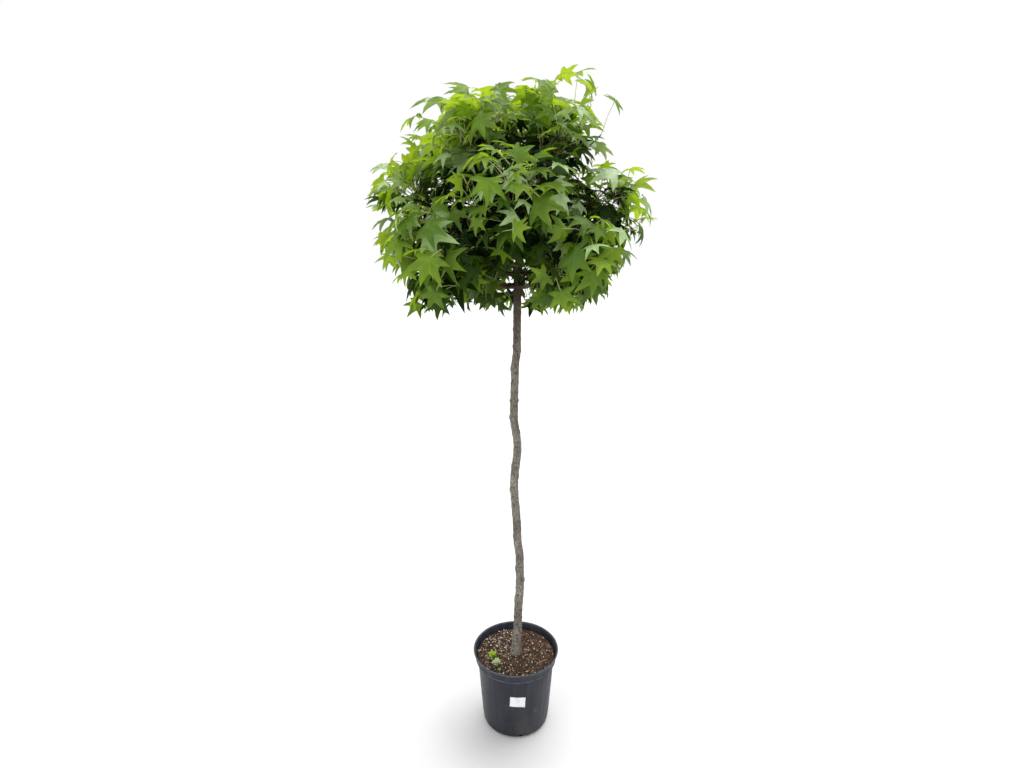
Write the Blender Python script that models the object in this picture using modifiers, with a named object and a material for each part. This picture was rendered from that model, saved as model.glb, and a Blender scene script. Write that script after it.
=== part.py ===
"""Potted standard sweetgum: a clear stem with a round head of star-shaped leaves, in a black pot.

Metres, +Z up. The origin is the middle of the pot's flat underside, and the front faces -Y.
"""

import collections
import math
import random

import bmesh
import bpy
from mathutils import Matrix, Vector
from mathutils.bvhtree import BVHTree

OBJECT_NAME = "potted_standard_sweetgum"
CLEARANCE = 0.0003  # between pieces that touch on the real plant
WELD = 0.00001  # points nearer than this are made one
UP = Vector((0, 0, 1))

# Colours
POT_COLOUR = (0.022, 0.024, 0.030)
SOIL_COLOUR = (0.050, 0.032, 0.022)
PAPER_COLOUR = (0.80, 0.81, 0.82)
BARK_COLOUR = (0.165, 0.125, 0.095)
LEAF_COLOUR = (0.130, 0.240, 0.040)

# Pot: a tapered nursery container with a flared collar
POT_HEIGHT = 0.258
RIM_RADIUS = 0.140
LIP_THICKNESS = 0.004
COLLAR_DEPTH = 0.033
COLLAR_FOOT_RADIUS = 0.1305
BEAD_HEIGHT = 0.004
BODY_TOP_RADIUS = 0.1255
BASE_RADIUS = 0.1085
BASE_CORNER = 0.009
WALL = 0.0022
FLOOR = 0.0030
POT_STEPS = 36
DRAIN_COUNT = 6
DRAIN_RADIUS = 0.0055
DRAIN_LENGTH = 0.030
DRAIN_SIDES = 8
DRAIN_TURN = math.radians(8)

# Label: a blank sticker on the front of the pot
LABEL_WIDTH = 0.049
LABEL_HEIGHT = 0.037
LABEL_MIDDLE = Vector((0.005, 0.148))
LABEL_THICKNESS = 0.0005
LABEL_TILT = math.radians(-3)
LABEL_COLUMNS = 8

# Soil: a slightly mounded fill, a little below the rim
SOIL_HEIGHT = 0.238
SOIL_EDGE_DROP = 0.004
SOIL_MOUND_RADIUS = 0.045
SOIL_RIM_WIDTH = 0.018
SOIL_RIM_RISE = 0.001
SOIL_RIM_DROP = 0.004

# Trunk: bends as (height, offset to the right), and its radii
TRUNK_BENDS = (
    (0.225, 0.001), (0.370, 0.007), (0.490, 0.013), (0.575, 0.012), (0.660, 0.004), (0.840, -0.006),
    (0.958, 0.004), (1.053, -0.007), (1.200, -0.004), (1.260, 0.002), (1.500, 0.003),
)
TRUNK_TOP = 1.512
TRUNK_SWAY = 0.006
TRUNK_SWAY_TURNS = 1.5
TRUNK_FOOT_RADIUS = 0.0205
TRUNK_LOW_RADIUS = 0.0140
TRUNK_HIGH_RADIUS = 0.0112
HEAD_RADIUS = 0.0150
FLARE_HEIGHT = 0.060
HEAD_SWELL = 0.050
HEAD_TURNS = (math.radians(35), math.radians(65), math.radians(83))
TRUNK_POINTS = 26
TRUNK_SIDES = 10
TRUNK_CROWDING = 1.15  # over 1, so the points lie closer near the foot
KNOT_SPACING = 0.105
KNOT_SWELL = 0.0014
KNOT_SHARPNESS = 8

# Boughs: each leaves the head of the trunk for one mass of leaves
BOUGH_BASE_RADIUS = 0.0056
BOUGH_TIP_RADIUS = 0.0034
BOUGH_POINTS = 6
BOUGH_SIDES = 6
BOUGH_REACH = 0.38
BOUGH_SAG = 0.020
BOUGH_SWAY = 0.006

# Masses of leaves: azimuth in degrees (0 right, 90 back, -90 front), distance out from the trunk,
# height, reach from that middle, and the height where the bough leaves the trunk
Mass = collections.namedtuple("Mass", "name azimuth out height reach leave")
MASSES = (
    Mass("low_front_left", -138, 0.280, 1.525, 0.185, 1.446),
    Mass("low_front_right", -54, 0.225, 1.525, 0.185, 1.450),
    Mass("low_back_right", 40, 0.230, 1.520, 0.185, 1.446),
    Mass("low_back_left", 130, 0.265, 1.515, 0.185, 1.450),
    Mass("middle_left", 178, 0.275, 1.660, 0.190, 1.472),
    Mass("middle_front", -96, 0.215, 1.660, 0.195, 1.476),
    Mass("middle_right", -6, 0.222, 1.678, 0.190, 1.470),
    Mass("middle_back", 86, 0.215, 1.660, 0.195, 1.474),
    Mass("top_front_left", -128, 0.175, 1.812, 0.175, 1.490),
    Mass("top_front_right", -40, 0.150, 1.862, 0.175, 1.497),
    Mass("top_back_right", 66, 0.145, 1.865, 0.180, 1.494),
    Mass("top_back_left", 152, 0.195, 1.812, 0.180, 1.486),
)
MASS_GAP = 0.002
HEAD_CLEAR = 0.070
CROWN_FLOOR = 1.335
CROWN_TOP = 2.03
CROWN_MIDDLE = Vector((-0.02, 0, 1.60))

# Twigs: a stem that carries on from the bough, and shoots that branch from it
TWIG_SIDES = 3
STEM_POINTS = 4
STEM_STRAIGHT = 0.012
STEM_PAST_MIDDLE = 0.25
STEM_TIP_RADIUS = 0.0024
SHOOTS = 7
SHOOT_CANDIDATES = 60
SHOOT_POINTS = 3
SHOOT_BASE_RADIUS = 0.0026
SHOOT_TIP_RADIUS = 0.0018
SHOOT_STATIONS = 20
SHOOT_FIRST = 0.08
SHOOT_LEAN = 0.30
SHOOT_SAG = 0.12
SHOOT_SHORTEST = 0.045
SHOOT_END_MARGIN = 0.048
SEARCH_STEP = 0.010

# Leaves: five pointed lobes that hang from a long stalk, as (angle from the midrib, share of the blade)
LOBE_TIPS = ((0, 1.00), (52, 0.94), (108, 0.70))
LOBE_NOTCHES = ((26, 0.52), (80, 0.46), (164, 0.11))
BLADE = 0.104
BLADE_DROOP = 0.30
BLADE_CENTRE = 0.30
HANG_OUT = 0.75
HANG_LOW = 0.90
HANG_HIGH = 0.15
HANG_WANDER = 0.35
FACE_UP = 0.6
FACE_AWAY = 0.6
FACE_WANDER = 0.3
LEAF_THICKNESS = 0.0036
STALK_WIDTH = 0.0028
STALK_SHORTEST = 0.030
STALK_LONGEST = 0.100
STALK_ALONG = 0.3
STALK_AWAY = 0.6
STALK_UP = 0.4
LEAVES_PER_MASS = 20
LEAF_TRIES = 26000
LEAF_SIZES = (0.75, 1.05)
LEAF_MARGIN = 0.022
LEAF_SPACINGS = (0.086, 0.066, 0.050, 0.036)
STALK_BEHIND = 0.25
ROOT_FIRST = 0.20
ROOT_LAST = 0.94
ROOT_SINK = 0.0005
ROOT_FREE = 0.010

SEED = 11


def clear_scene():
    for obj in list(bpy.data.objects):
        bpy.data.objects.remove(obj, do_unlink=True)


def make_collection(name, hidden=False):
    collection = bpy.data.collections.new(name)
    bpy.context.scene.collection.children.link(collection)
    collection.hide_render = hidden
    return collection


def make_material(name, colour, roughness):
    material = bpy.data.materials.new(name)
    material.use_nodes = True
    shader = material.node_tree.nodes["Principled BSDF"]
    shader.inputs["Base Color"].default_value = (*colour, 1)
    shader.inputs["Roughness"].default_value = roughness
    shader.inputs["Metallic"].default_value = 0
    return material


def add_object(name, data, collection):
    obj = bpy.data.objects.new(name, data)
    collection.objects.link(obj)
    return obj


def smooth_shade(mesh, degrees=35):
    mesh.shade_smooth()
    mesh.set_sharp_from_angle(angle=math.radians(degrees))


def along(points, share):
    """The point at a share of the way along a polyline, and its direction there."""
    place = min(max(share, 0), 1) * (len(points) - 1)
    first = min(int(place), len(points) - 2)
    step = points[first + 1] - points[first]
    return points[first] + step * (place - first), step.normalized()


# Turned pieces: the pot and the soil


def turned(name, profile, collection):
    """A closed solid of revolution from (radius, height) pairs that run down the outer side."""
    mesh = bpy.data.meshes.new(name)
    rows = [(radius, 0, height) for radius, height in profile]
    mesh.from_pydata(rows, [(i, i + 1) for i in range(len(rows) - 1)], [])
    obj = add_object(name, mesh, collection)
    screw = obj.modifiers.new("turn", "SCREW")
    screw.steps = POT_STEPS
    screw.render_steps = POT_STEPS
    screw.use_merge_vertices = True
    screw.merge_threshold = WELD
    screw.use_smooth_shade = True
    return obj


def wall_radius(height):
    """Outer radius of the pot's body at a height."""
    share = height / (POT_HEIGHT - COLLAR_DEPTH)
    return BASE_RADIUS + (BODY_TOP_RADIUS - BASE_RADIUS) * share


def collar_inside(height):
    """Inner radius of the flared collar at a height."""
    foot = POT_HEIGHT - COLLAR_DEPTH + BEAD_HEIGHT
    share = (height - foot) / (POT_HEIGHT - LIP_THICKNESS - foot)
    return COLLAR_FOOT_RADIUS - WALL + (RIM_RADIUS - LIP_THICKNESS - COLLAR_FOOT_RADIUS) * share


def pot_profile():
    foot = POT_HEIGHT - COLLAR_DEPTH
    outer = [
        (RIM_RADIUS - LIP_THICKNESS, POT_HEIGHT),
        (RIM_RADIUS, POT_HEIGHT - LIP_THICKNESS / 2),
        (RIM_RADIUS - LIP_THICKNESS / 2, POT_HEIGHT - LIP_THICKNESS * 1.5),
        (COLLAR_FOOT_RADIUS, foot + BEAD_HEIGHT),
        (COLLAR_FOOT_RADIUS, foot),
        (BODY_TOP_RADIUS, foot - BEAD_HEIGHT / 2),
    ]
    corner = [
        (
            wall_radius(0) - BASE_CORNER * (1 - math.cos(turn)),
            BASE_CORNER * (1 - math.sin(turn)),
        )
        for turn in (0, math.pi / 6, math.pi / 3, math.pi / 2)
    ]
    inner = [
        (0, FLOOR),
        (wall_radius(FLOOR) - WALL - BASE_CORNER / 2, FLOOR),
        (wall_radius(BASE_CORNER) - WALL, FLOOR + BASE_CORNER / 2),
        (BODY_TOP_RADIUS - WALL, foot - BEAD_HEIGHT / 2),
        (COLLAR_FOOT_RADIUS - WALL, foot + BEAD_HEIGHT),
        (RIM_RADIUS - LIP_THICKNESS - WALL, POT_HEIGHT - LIP_THICKNESS),
        (RIM_RADIUS - LIP_THICKNESS, POT_HEIGHT),
    ]
    return outer + corner + [(0, 0)] + inner


def make_pot(parts, cutters):
    pot = turned("pot", pot_profile(), parts)
    pot.data.materials.append(make_material("black pot plastic", POT_COLOUR, 0.55))
    for i in range(DRAIN_COUNT):
        bpy.ops.mesh.primitive_cylinder_add(
            vertices=DRAIN_SIDES, radius=DRAIN_RADIUS, depth=DRAIN_LENGTH
        )
        hole = bpy.context.object
        hole.name = f"drain_hole_{i + 1}"
        turn = DRAIN_TURN + math.tau * (i + 0.5) / DRAIN_COUNT
        hole.location = (BASE_RADIUS * math.cos(turn), BASE_RADIUS * math.sin(turn), BASE_CORNER)
        hole.rotation_euler = (0, math.radians(90), turn)
        hole.hide_render = True
        hole.display_type = "WIRE"
        bpy.context.collection.objects.unlink(hole)
        cutters.objects.link(hole)
    drill = pot.modifiers.new("drain holes", "BOOLEAN")
    drill.operand_type = "COLLECTION"
    drill.collection = cutters
    drill.operation = "DIFFERENCE"
    return pot


def soil_profile():
    low = FLOOR + CLEARANCE
    edge = SOIL_HEIGHT - SOIL_EDGE_DROP
    rim = collar_inside(edge - SOIL_RIM_DROP) - CLEARANCE * 2
    gap = WALL + CLEARANCE * 2
    return [
        (0, SOIL_HEIGHT),
        (SOIL_MOUND_RADIUS, SOIL_HEIGHT),
        (rim - SOIL_RIM_WIDTH, edge + SOIL_RIM_RISE),
        (rim, edge - SOIL_RIM_DROP),
        (BODY_TOP_RADIUS - gap, POT_HEIGHT - COLLAR_DEPTH - BEAD_HEIGHT / 2),
        (wall_radius(BASE_CORNER) - gap, FLOOR + BASE_CORNER / 2 + CLEARANCE * 2),
        (wall_radius(FLOOR) - gap - BASE_CORNER / 2, low),
        (0, low),
    ]


def make_soil(parts):
    soil = turned("soil", soil_profile(), parts)
    soil.data.materials.append(make_material("potting soil", SOIL_COLOUR, 0.95))
    return soil


def make_label(parts):
    """A thin sticker bent round the front of the pot's tapered wall."""
    bm = bmesh.new()
    bmesh.ops.create_grid(bm, x_segments=LABEL_COLUMNS, y_segments=2, size=0.5)
    for vert in bm.verts:
        across = vert.co.x * LABEL_WIDTH
        up = vert.co.y * LABEL_HEIGHT
        height = LABEL_MIDDLE.y + up * math.cos(LABEL_TILT) + across * math.sin(LABEL_TILT)
        side = LABEL_MIDDLE.x + across * math.cos(LABEL_TILT) - up * math.sin(LABEL_TILT)
        radius = wall_radius(height) + CLEARANCE + LABEL_THICKNESS
        turn = side / radius - math.pi / 2
        vert.co = (radius * math.cos(turn), radius * math.sin(turn), height)
    bmesh.ops.recalc_face_normals(bm, faces=bm.faces)
    if sum(face.normal.y for face in bm.faces) > 0:
        bmesh.ops.reverse_faces(bm, faces=bm.faces)
    mesh = bpy.data.meshes.new("label")
    bm.to_mesh(mesh)
    bm.free()
    label = add_object("label", mesh, parts)
    shell = label.modifiers.new("thickness", "SOLIDIFY")
    shell.thickness = LABEL_THICKNESS
    shell.offset = -1
    label.data.materials.append(make_material("white paper", PAPER_COLOUR, 0.6))
    return label


# Limbs: tapering tubes along a line of points


def limb_curve(name, points, radii, sides, collection):
    """A tube along the points, round, or three-cornered for a twig."""
    curve = bpy.data.curves.new(name, "CURVE")
    curve.dimensions = "3D"
    curve.use_fill_caps = True
    if sides == TWIG_SIDES:
        curve.bevel_mode = "OBJECT"
        curve.bevel_object = bpy.data.objects["twig_section"]
    else:
        curve.bevel_depth = 1
        curve.bevel_resolution = sides // 2 - 2
    spline = curve.splines.new("POLY")
    spline.points.add(len(points) - 1)
    for point, place, radius in zip(spline.points, points, radii):
        point.co = (*place, 1)
        point.radius = radius
    return add_object(name, curve, collection)


def curve_to_mesh(curve_object, collection):
    """The evaluated curve as a closed mesh object of the same name, with the curve removed."""
    graph = bpy.context.evaluated_depsgraph_get()
    mesh = bpy.data.meshes.new_from_object(curve_object.evaluated_get(graph))
    bm = bmesh.new()
    bm.from_mesh(mesh)
    bmesh.ops.remove_doubles(bm, verts=bm.verts, dist=WELD)
    bmesh.ops.recalc_face_normals(bm, faces=bm.faces)
    bm.to_mesh(mesh)
    bm.free()
    name = curve_object.name
    matrix = curve_object.matrix_world.copy()
    bpy.data.objects.remove(curve_object, do_unlink=True)
    obj = add_object(name, mesh, collection)
    obj.matrix_world = matrix
    return obj


def tree_of(mesh):
    return BVHTree.FromPolygons(
        [vert.co.copy() for vert in mesh.vertices],
        [tuple(face.vertices) for face in mesh.polygons],
    )


def make_twig_section(collection):
    """The three-cornered outline that every twig is swept with."""
    curve = bpy.data.curves.new("twig_section", "CURVE")
    spline = curve.splines.new("POLY")
    spline.points.add(TWIG_SIDES - 1)
    for i, point in enumerate(spline.points):
        turn = math.tau * i / TWIG_SIDES
        point.co = (math.cos(turn), math.sin(turn), 0, 1)
    spline.use_cyclic_u = True
    section = add_object("twig_section", curve, collection)
    section.hide_render = True
    return section


def trunk_offset(height):
    """The trunk's offset to the right at a height, eased from bend to bend."""
    for (low, start), (high, end) in zip(TRUNK_BENDS, TRUNK_BENDS[1:]):
        if height <= high:
            share = max(height - low, 0) / (high - low)
            return start + (end - start) * (3 - 2 * share) * share * share
    return TRUNK_BENDS[-1][1]


def trunk_axis(height):
    share = (height - SOIL_HEIGHT) / (TRUNK_TOP - SOIL_HEIGHT)
    back = TRUNK_SWAY * math.sin(share * math.tau * TRUNK_SWAY_TURNS)
    return Vector((trunk_offset(height), back, height))


def trunk_radius(height):
    """Taper, root flare, knots where side shoots were taken off, and the swollen head."""
    share = (height - SOIL_HEIGHT) / (TRUNK_TOP - SOIL_HEIGHT)
    radius = TRUNK_LOW_RADIUS + (TRUNK_HIGH_RADIUS - TRUNK_LOW_RADIUS) * share
    flare = max(1 - (height - SOIL_HEIGHT) / FLARE_HEIGHT, 0)
    head = max(1 - (TRUNK_TOP - height) / HEAD_SWELL, 0)
    knot = math.cos(math.tau * height / KNOT_SPACING) ** KNOT_SHARPNESS
    radius += (TRUNK_FOOT_RADIUS - TRUNK_LOW_RADIUS) * flare**2
    radius += (HEAD_RADIUS - TRUNK_HIGH_RADIUS) * math.sin(head * math.pi / 2)
    return radius + KNOT_SWELL * knot * (1 - head)


def trunk_line(swell):
    """Points and radii of the trunk, from its flat foot to its rounded head."""
    foot = SOIL_HEIGHT + CLEARANCE
    heights = [
        foot + (TRUNK_TOP - HEAD_RADIUS - foot) * (i / (TRUNK_POINTS - 1)) ** TRUNK_CROWDING
        for i in range(TRUNK_POINTS)
    ]
    points = [trunk_axis(height) for height in heights]
    radii = [trunk_radius(height) + swell for height in heights]
    points[1] = Vector((points[0].x, points[0].y, points[1].z))
    last, width = points[-1], radii[-1]
    for turn in HEAD_TURNS:
        points.append(last + UP * HEAD_RADIUS * math.sin(turn))
        radii.append(width * math.cos(turn))
    return points, radii


def make_trunk(parts, bark):
    points, radii = trunk_line(0)
    trunk = limb_curve("trunk", points, radii, TRUNK_SIDES, parts)
    trunk = curve_to_mesh(trunk, parts)
    smooth_shade(trunk.data)
    trunk.data.materials.append(bark)
    return trunk


def mass_middle(mass):
    turn = math.radians(mass.azimuth)
    return Vector((mass.out * math.cos(turn), mass.out * math.sin(turn), mass.height))


def bough_line(mass):
    """A limb that leaves the head at its own height and bends up towards its mass."""
    start = trunk_axis(min(mass.leave, TRUNK_TOP - HEAD_RADIUS))
    aim = mass_middle(mass) - start
    end = start + aim * BOUGH_REACH
    flat = Vector((aim.x, aim.y, 0)).normalized()
    side = flat.cross(UP) * BOUGH_SWAY
    points = []
    for i in range(BOUGH_POINTS):
        share = i / (BOUGH_POINTS - 1)
        sag = UP * BOUGH_SAG * math.sin(share * math.pi)
        points.append(start.lerp(end, share) - sag + side * math.sin(share * math.tau))
    radii = [
        BOUGH_BASE_RADIUS + (BOUGH_TIP_RADIUS - BOUGH_BASE_RADIUS) * i / (BOUGH_POINTS - 1)
        for i in range(BOUGH_POINTS)
    ]
    return points, radii


def make_boughs(parts, cutters, bark):
    """Boughs with their roots cut to the trunk's surface, a hair clear of it."""
    points, radii = trunk_line(CLEARANCE)
    cutter = curve_to_mesh(limb_curve("trunk_cutter", points, radii, TRUNK_SIDES, cutters), cutters)
    cutter.hide_render = True
    cutter.display_type = "WIRE"
    boughs = []
    for mass in MASSES:
        points, radii = bough_line(mass)
        bough = limb_curve(f"bough_{mass.name}", points, radii, BOUGH_SIDES, parts)
        bough = curve_to_mesh(bough, parts)
        cut = bough.modifiers.new("seat on trunk", "BOOLEAN")
        cut.object = cutter
        cut.operation = "DIFFERENCE"
        apply_modifiers(bough)
        smooth_shade(bough.data)
        bough.data.materials.append(bark)
        boughs.append(bough)
    bpy.data.objects.remove(cutter, do_unlink=True)
    return boughs


def apply_modifiers(obj):
    graph = bpy.context.evaluated_depsgraph_get()
    mesh = bpy.data.meshes.new_from_object(obj.evaluated_get(graph))
    obj.modifiers.clear()
    obj.data = mesh


# Masses of leaves


def space_of(mass):
    """The mass's own space: its middle, its reach, and the planes halfway to the other masses."""
    middle = mass_middle(mass)
    planes = []
    for other in MASSES:
        if other is not mass:
            step = mass_middle(other) - middle
            planes.append((step.normalized(), step.length / 2 - MASS_GAP / 2))
    return middle, mass.reach, planes


def in_space(space, point, margin=0.0):
    middle, reach, planes = space
    off = point - middle
    if off.length > reach - margin or point.z < CROWN_FLOOR + margin:
        return False
    if (point - trunk_axis(TRUNK_TOP)).length < HEAD_CLEAR:
        return False
    return all(off.dot(normal) < limit - margin for normal, limit in planes)


def leaf_points(size, stalk):
    """Rim and poles of a leaf. Its blade runs out along +X from the origin, and stalk is its stalk's root."""
    half = [(math.radians(angle), share) for angle, share in LOBE_TIPS + LOBE_NOTCHES]
    ring = sorted(half + [(-angle, share) for angle, share in half if angle > 0])
    blade = BLADE * size
    rim = []
    for angle, share in ring:
        place = Vector((share * math.cos(angle), share * math.sin(angle), 0))
        place.z = -BLADE_DROOP * place.length_squared
        rim.append(place * blade)
    back = stalk.normalized()
    axis = (UP + (UP - back * UP.dot(back)).normalized()).normalized()
    across = axis.cross(-back).normalized() * STALK_WIDTH / 2
    rim = [stalk - across] + rim + [stalk + across]
    return rim, [axis * LEAF_THICKNESS / 2, axis * -LEAF_THICKNESS / 2]


def leaf_tree(matrix, rim, poles):
    """A search tree of the leaf without the end of its stalk, which is sunk in the shoot."""
    stalk = (rim[0] + rim[-1]) / 2
    short = stalk * (1 - ROOT_FREE / stalk.length) - stalk
    points = [rim[0] + short] + rim[1:-1] + [rim[-1] + short] + poles
    count = len(rim)
    faces = [(i, (i + 1) % count, count + pole) for i in range(count) for pole in (0, 1)]
    return BVHTree.FromPolygons([matrix @ point for point in points], faces)


def leaf_mesh(matrix, rim, poles):
    """The leaf's solid: two fans that share the rim, one above and one below."""
    bm = bmesh.new()
    bmesh.ops.create_uvsphere(bm, u_segments=len(rim), v_segments=2, radius=1)
    ring = [vert for vert in bm.verts if abs(vert.co.z) < 0.5]
    ring.sort(key=lambda vert: math.atan2(vert.co.y, vert.co.x))
    ends = [vert for vert in bm.verts if abs(vert.co.z) >= 0.5]
    ends.sort(key=lambda vert: -vert.co.z)
    for vert, place in zip(ring + ends, rim + poles):
        vert.co = matrix @ place
    mesh = bpy.data.meshes.new("leaf")
    bm.to_mesh(mesh)
    bm.free()
    return mesh


def blade_matrix(place, out, rng):
    """A frame at the blade's base: X carries the stalk's heading on and hangs, Z is the upper face."""
    flat = Vector((out.x, out.y, 0)).normalized()
    rise = (place.z - CROWN_FLOOR) / (CROWN_TOP - CROWN_FLOOR)
    drop = HANG_LOW + (HANG_HIGH - HANG_LOW) * rise
    hang = (flat * HANG_OUT - UP * drop + random_direction(rng) * HANG_WANDER).normalized()
    away = (place - CROWN_MIDDLE).normalized()
    up = UP * FACE_UP + away * FACE_AWAY + random_direction(rng) * FACE_WANDER
    face = (up - hang * up.dot(hang)).normalized()
    frame = Matrix((hang, face.cross(hang), face)).transposed().to_4x4()
    return Matrix.Translation(place) @ frame


def stem_line(mass, bough_points):
    """The stem carries on from 0.3 mm past the bough's tip, through the mass's middle."""
    tip = bough_points[-1]
    heading = (tip - bough_points[-2]).normalized()
    start = tip + heading * CLEARANCE
    middle = mass_middle(mass)
    end = middle + (middle - start) * STEM_PAST_MIDDLE
    points = [start, start + heading * STEM_STRAIGHT]
    for i in range(1, STEM_POINTS):
        points.append(points[1].lerp(end, i / (STEM_POINTS - 1)))
    radii = [
        BOUGH_TIP_RADIUS + (STEM_TIP_RADIUS - BOUGH_TIP_RADIUS) * i / (len(points) - 1)
        for i in range(len(points))
    ]
    return points, radii


def random_direction(rng):
    height = rng.uniform(-1, 1)
    turn = rng.uniform(0, math.tau)
    flat = math.sqrt(1 - height * height)
    return Vector((flat * math.cos(turn), flat * math.sin(turn), height))


def shoot_ends(space, stem, rng):
    """Ends for the shoots, spread evenly over the outer part of the mass's space."""
    middle, reach, _ = space
    found = []
    for _ in range(SHOOT_CANDIDATES):
        direction = random_direction(rng)
        out = reach
        while out > 0 and not in_space(space, middle + direction * out, SHOOT_END_MARGIN):
            out -= SEARCH_STEP
        if out > 0:
            found.append(middle + direction * out)
    ends = [stem[-1]]
    while found and len(ends) <= SHOOTS:
        best = max(found, key=lambda place: min((place - end).length for end in ends))
        found.remove(best)
        ends.append(best)
    return ends[1:]


def shoot_line(stem, end):
    """A shoot leaves the stem behind its nearest point to the shoot's end, and leans forward."""
    stations = [i / SHOOT_STATIONS for i in range(SHOOT_STATIONS + 1)]
    nearest = min(stations, key=lambda share: (along(stem, share)[0] - end).length)
    root, _ = along(stem, max(nearest - SHOOT_LEAN, SHOOT_FIRST))
    length = (end - root).length
    if length < SHOOT_SHORTEST:
        return None
    points = []
    for i in range(SHOOT_POINTS):
        share = i / (SHOOT_POINTS - 1)
        points.append(root.lerp(end, share) - UP * SHOOT_SAG * length * math.sin(share * math.pi))
    return points


def twig_mesh(name, points, radii, scratch):
    return curve_to_mesh(limb_curve(name, points, radii, TWIG_SIDES, scratch), scratch)


def grow_leaves(space, twigs, blocked, scratch, rng):
    """Leaves whose stalks leave the twigs: far apart at first, then closer together between them."""
    taken = []
    centres = []
    for attempt in range(LEAF_TRIES):
        if len(taken) == LEAVES_PER_MASS:
            break
        spacing = LEAF_SPACINGS[attempt * len(LEAF_SPACINGS) // LEAF_TRIES]
        root, heading = along(rng.choice(twigs), rng.uniform(ROOT_FIRST, ROOT_LAST))
        away = (root - CROWN_MIDDLE).normalized()
        out = random_direction(rng) + heading * STALK_ALONG + away * STALK_AWAY + UP * STALK_UP
        out.normalize()
        place = root + out * rng.uniform(STALK_SHORTEST, STALK_LONGEST)
        size = rng.uniform(*LEAF_SIZES)
        matrix = blade_matrix(place, out, rng)
        centre = matrix @ Vector((BLADE * size * BLADE_CENTRE, 0, 0))
        if not in_space(space, centre, LEAF_MARGIN):
            continue
        if any((centre - other).length < spacing for other in centres):
            continue
        stalk = matrix.inverted() @ root
        if -stalk.x < STALK_BEHIND * stalk.length:
            continue
        rim, poles = leaf_points(size, stalk * (1 + ROOT_SINK / stalk.length))
        if not all(in_space(space, matrix @ point) for point in rim[1:-1]):
            continue
        tree = leaf_tree(matrix, rim, poles)
        if any(tree.overlap(other) for other in blocked + taken):
            continue
        taken.append(tree)
        centres.append(centre)
        add_object("leaf", leaf_mesh(matrix, rim, poles), scratch)
    return len(taken)


def largest_body(mesh):
    """Drops every loose scrap but the largest body of a mesh, and returns how many there were."""
    bm = bmesh.new()
    bm.from_mesh(mesh)
    bmesh.ops.triangulate(bm, faces=bm.faces)
    left = set(bm.faces)
    bodies = []
    while left:
        front = [left.pop()]
        body = set(front)
        while front:
            sound = [edge for edge in front.pop().edges if len(edge.link_faces) == 2]
            near = {face for edge in sound for face in edge.link_faces} & left
            left -= near
            body |= near
            front.extend(near)
        bodies.append(body)
    bodies.sort(key=len)
    for body in bodies[:-1]:
        bmesh.ops.delete(bm, geom=list(body), context="FACES")
    bm.to_mesh(mesh)
    bm.free()
    return len(bodies) - 1


def make_mass(mass, index, limbs, parts, green):
    rng = random.Random(SEED * 100 + index)
    scratch = make_collection("scratch")
    space = space_of(mass)
    bough_points, _ = bough_line(mass)
    stem, radii = stem_line(mass, bough_points)
    base = twig_mesh(f"foliage_{mass.name}", stem, radii, parts)
    shoots = []
    twigs = [tree_of(base.data)]
    for end in shoot_ends(space, stem, rng):
        points = shoot_line(stem, end)
        if points is None:
            continue
        taper = [
            SHOOT_BASE_RADIUS + (SHOOT_TIP_RADIUS - SHOOT_BASE_RADIUS) * i / (SHOOT_POINTS - 1)
            for i in range(SHOOT_POINTS)
        ]
        twig = twig_mesh("shoot", points, taper, scratch)
        tree = tree_of(twig.data)
        if any(tree.overlap(limb) for limb in limbs):
            bpy.data.objects.remove(twig, do_unlink=True)
            continue
        shoots.append(points)
        twigs.append(tree)
    leaves = grow_leaves(space, shoots + [stem], limbs + twigs, scratch, rng)
    join = base.modifiers.new("fuse", "BOOLEAN")
    join.operation = "UNION"
    join.operand_type = "COLLECTION"
    join.collection = scratch
    join.solver = "MANIFOLD"
    apply_modifiers(base)
    scraps = largest_body(base.data)
    base.data.materials.clear()
    base.data.materials.append(green)
    for obj in list(scratch.objects):
        bpy.data.objects.remove(obj, do_unlink=True)
    bpy.data.collections.remove(scratch)
    print(f"{base.name}: {len(shoots)} shoots, {leaves} leaves, {scraps} loose scraps dropped")
    return base


def main():
    clear_scene()
    parts = make_collection(OBJECT_NAME)
    drains = make_collection("pot_cutters", hidden=True)
    cutters = make_collection("cutters", hidden=True)
    bark = make_material("bark", BARK_COLOUR, 0.85)
    green = make_material("leaf green", LEAF_COLOUR, 0.55)
    make_pot(parts, drains)
    make_soil(parts)
    make_label(parts)
    make_twig_section(cutters)
    trunk = make_trunk(parts, bark)
    boughs = make_boughs(parts, cutters, bark)
    limbs = [tree_of(obj.data) for obj in [trunk] + boughs]
    for index, mass in enumerate(MASSES):
        make_mass(mass, index, limbs, parts, green)


main()
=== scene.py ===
import math
import random

import bmesh
import bpy
from mathutils import Matrix, Vector, noise
from mathutils.bvhtree import BVHTree


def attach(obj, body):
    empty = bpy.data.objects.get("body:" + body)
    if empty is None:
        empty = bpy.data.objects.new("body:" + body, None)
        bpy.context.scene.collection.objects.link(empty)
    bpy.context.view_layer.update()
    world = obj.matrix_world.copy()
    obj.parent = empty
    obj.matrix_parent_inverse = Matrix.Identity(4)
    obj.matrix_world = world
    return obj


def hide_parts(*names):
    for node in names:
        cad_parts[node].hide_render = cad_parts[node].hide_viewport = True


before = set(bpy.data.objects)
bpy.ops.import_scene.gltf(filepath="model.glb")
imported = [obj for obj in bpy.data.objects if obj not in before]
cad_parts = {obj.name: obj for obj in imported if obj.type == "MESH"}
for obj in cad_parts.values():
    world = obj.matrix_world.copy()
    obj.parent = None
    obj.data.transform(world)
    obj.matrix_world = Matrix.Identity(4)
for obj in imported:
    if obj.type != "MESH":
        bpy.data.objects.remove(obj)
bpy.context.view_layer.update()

up = Vector((0, 0, 1))
seed = 11


# small helpers for meshes

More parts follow.
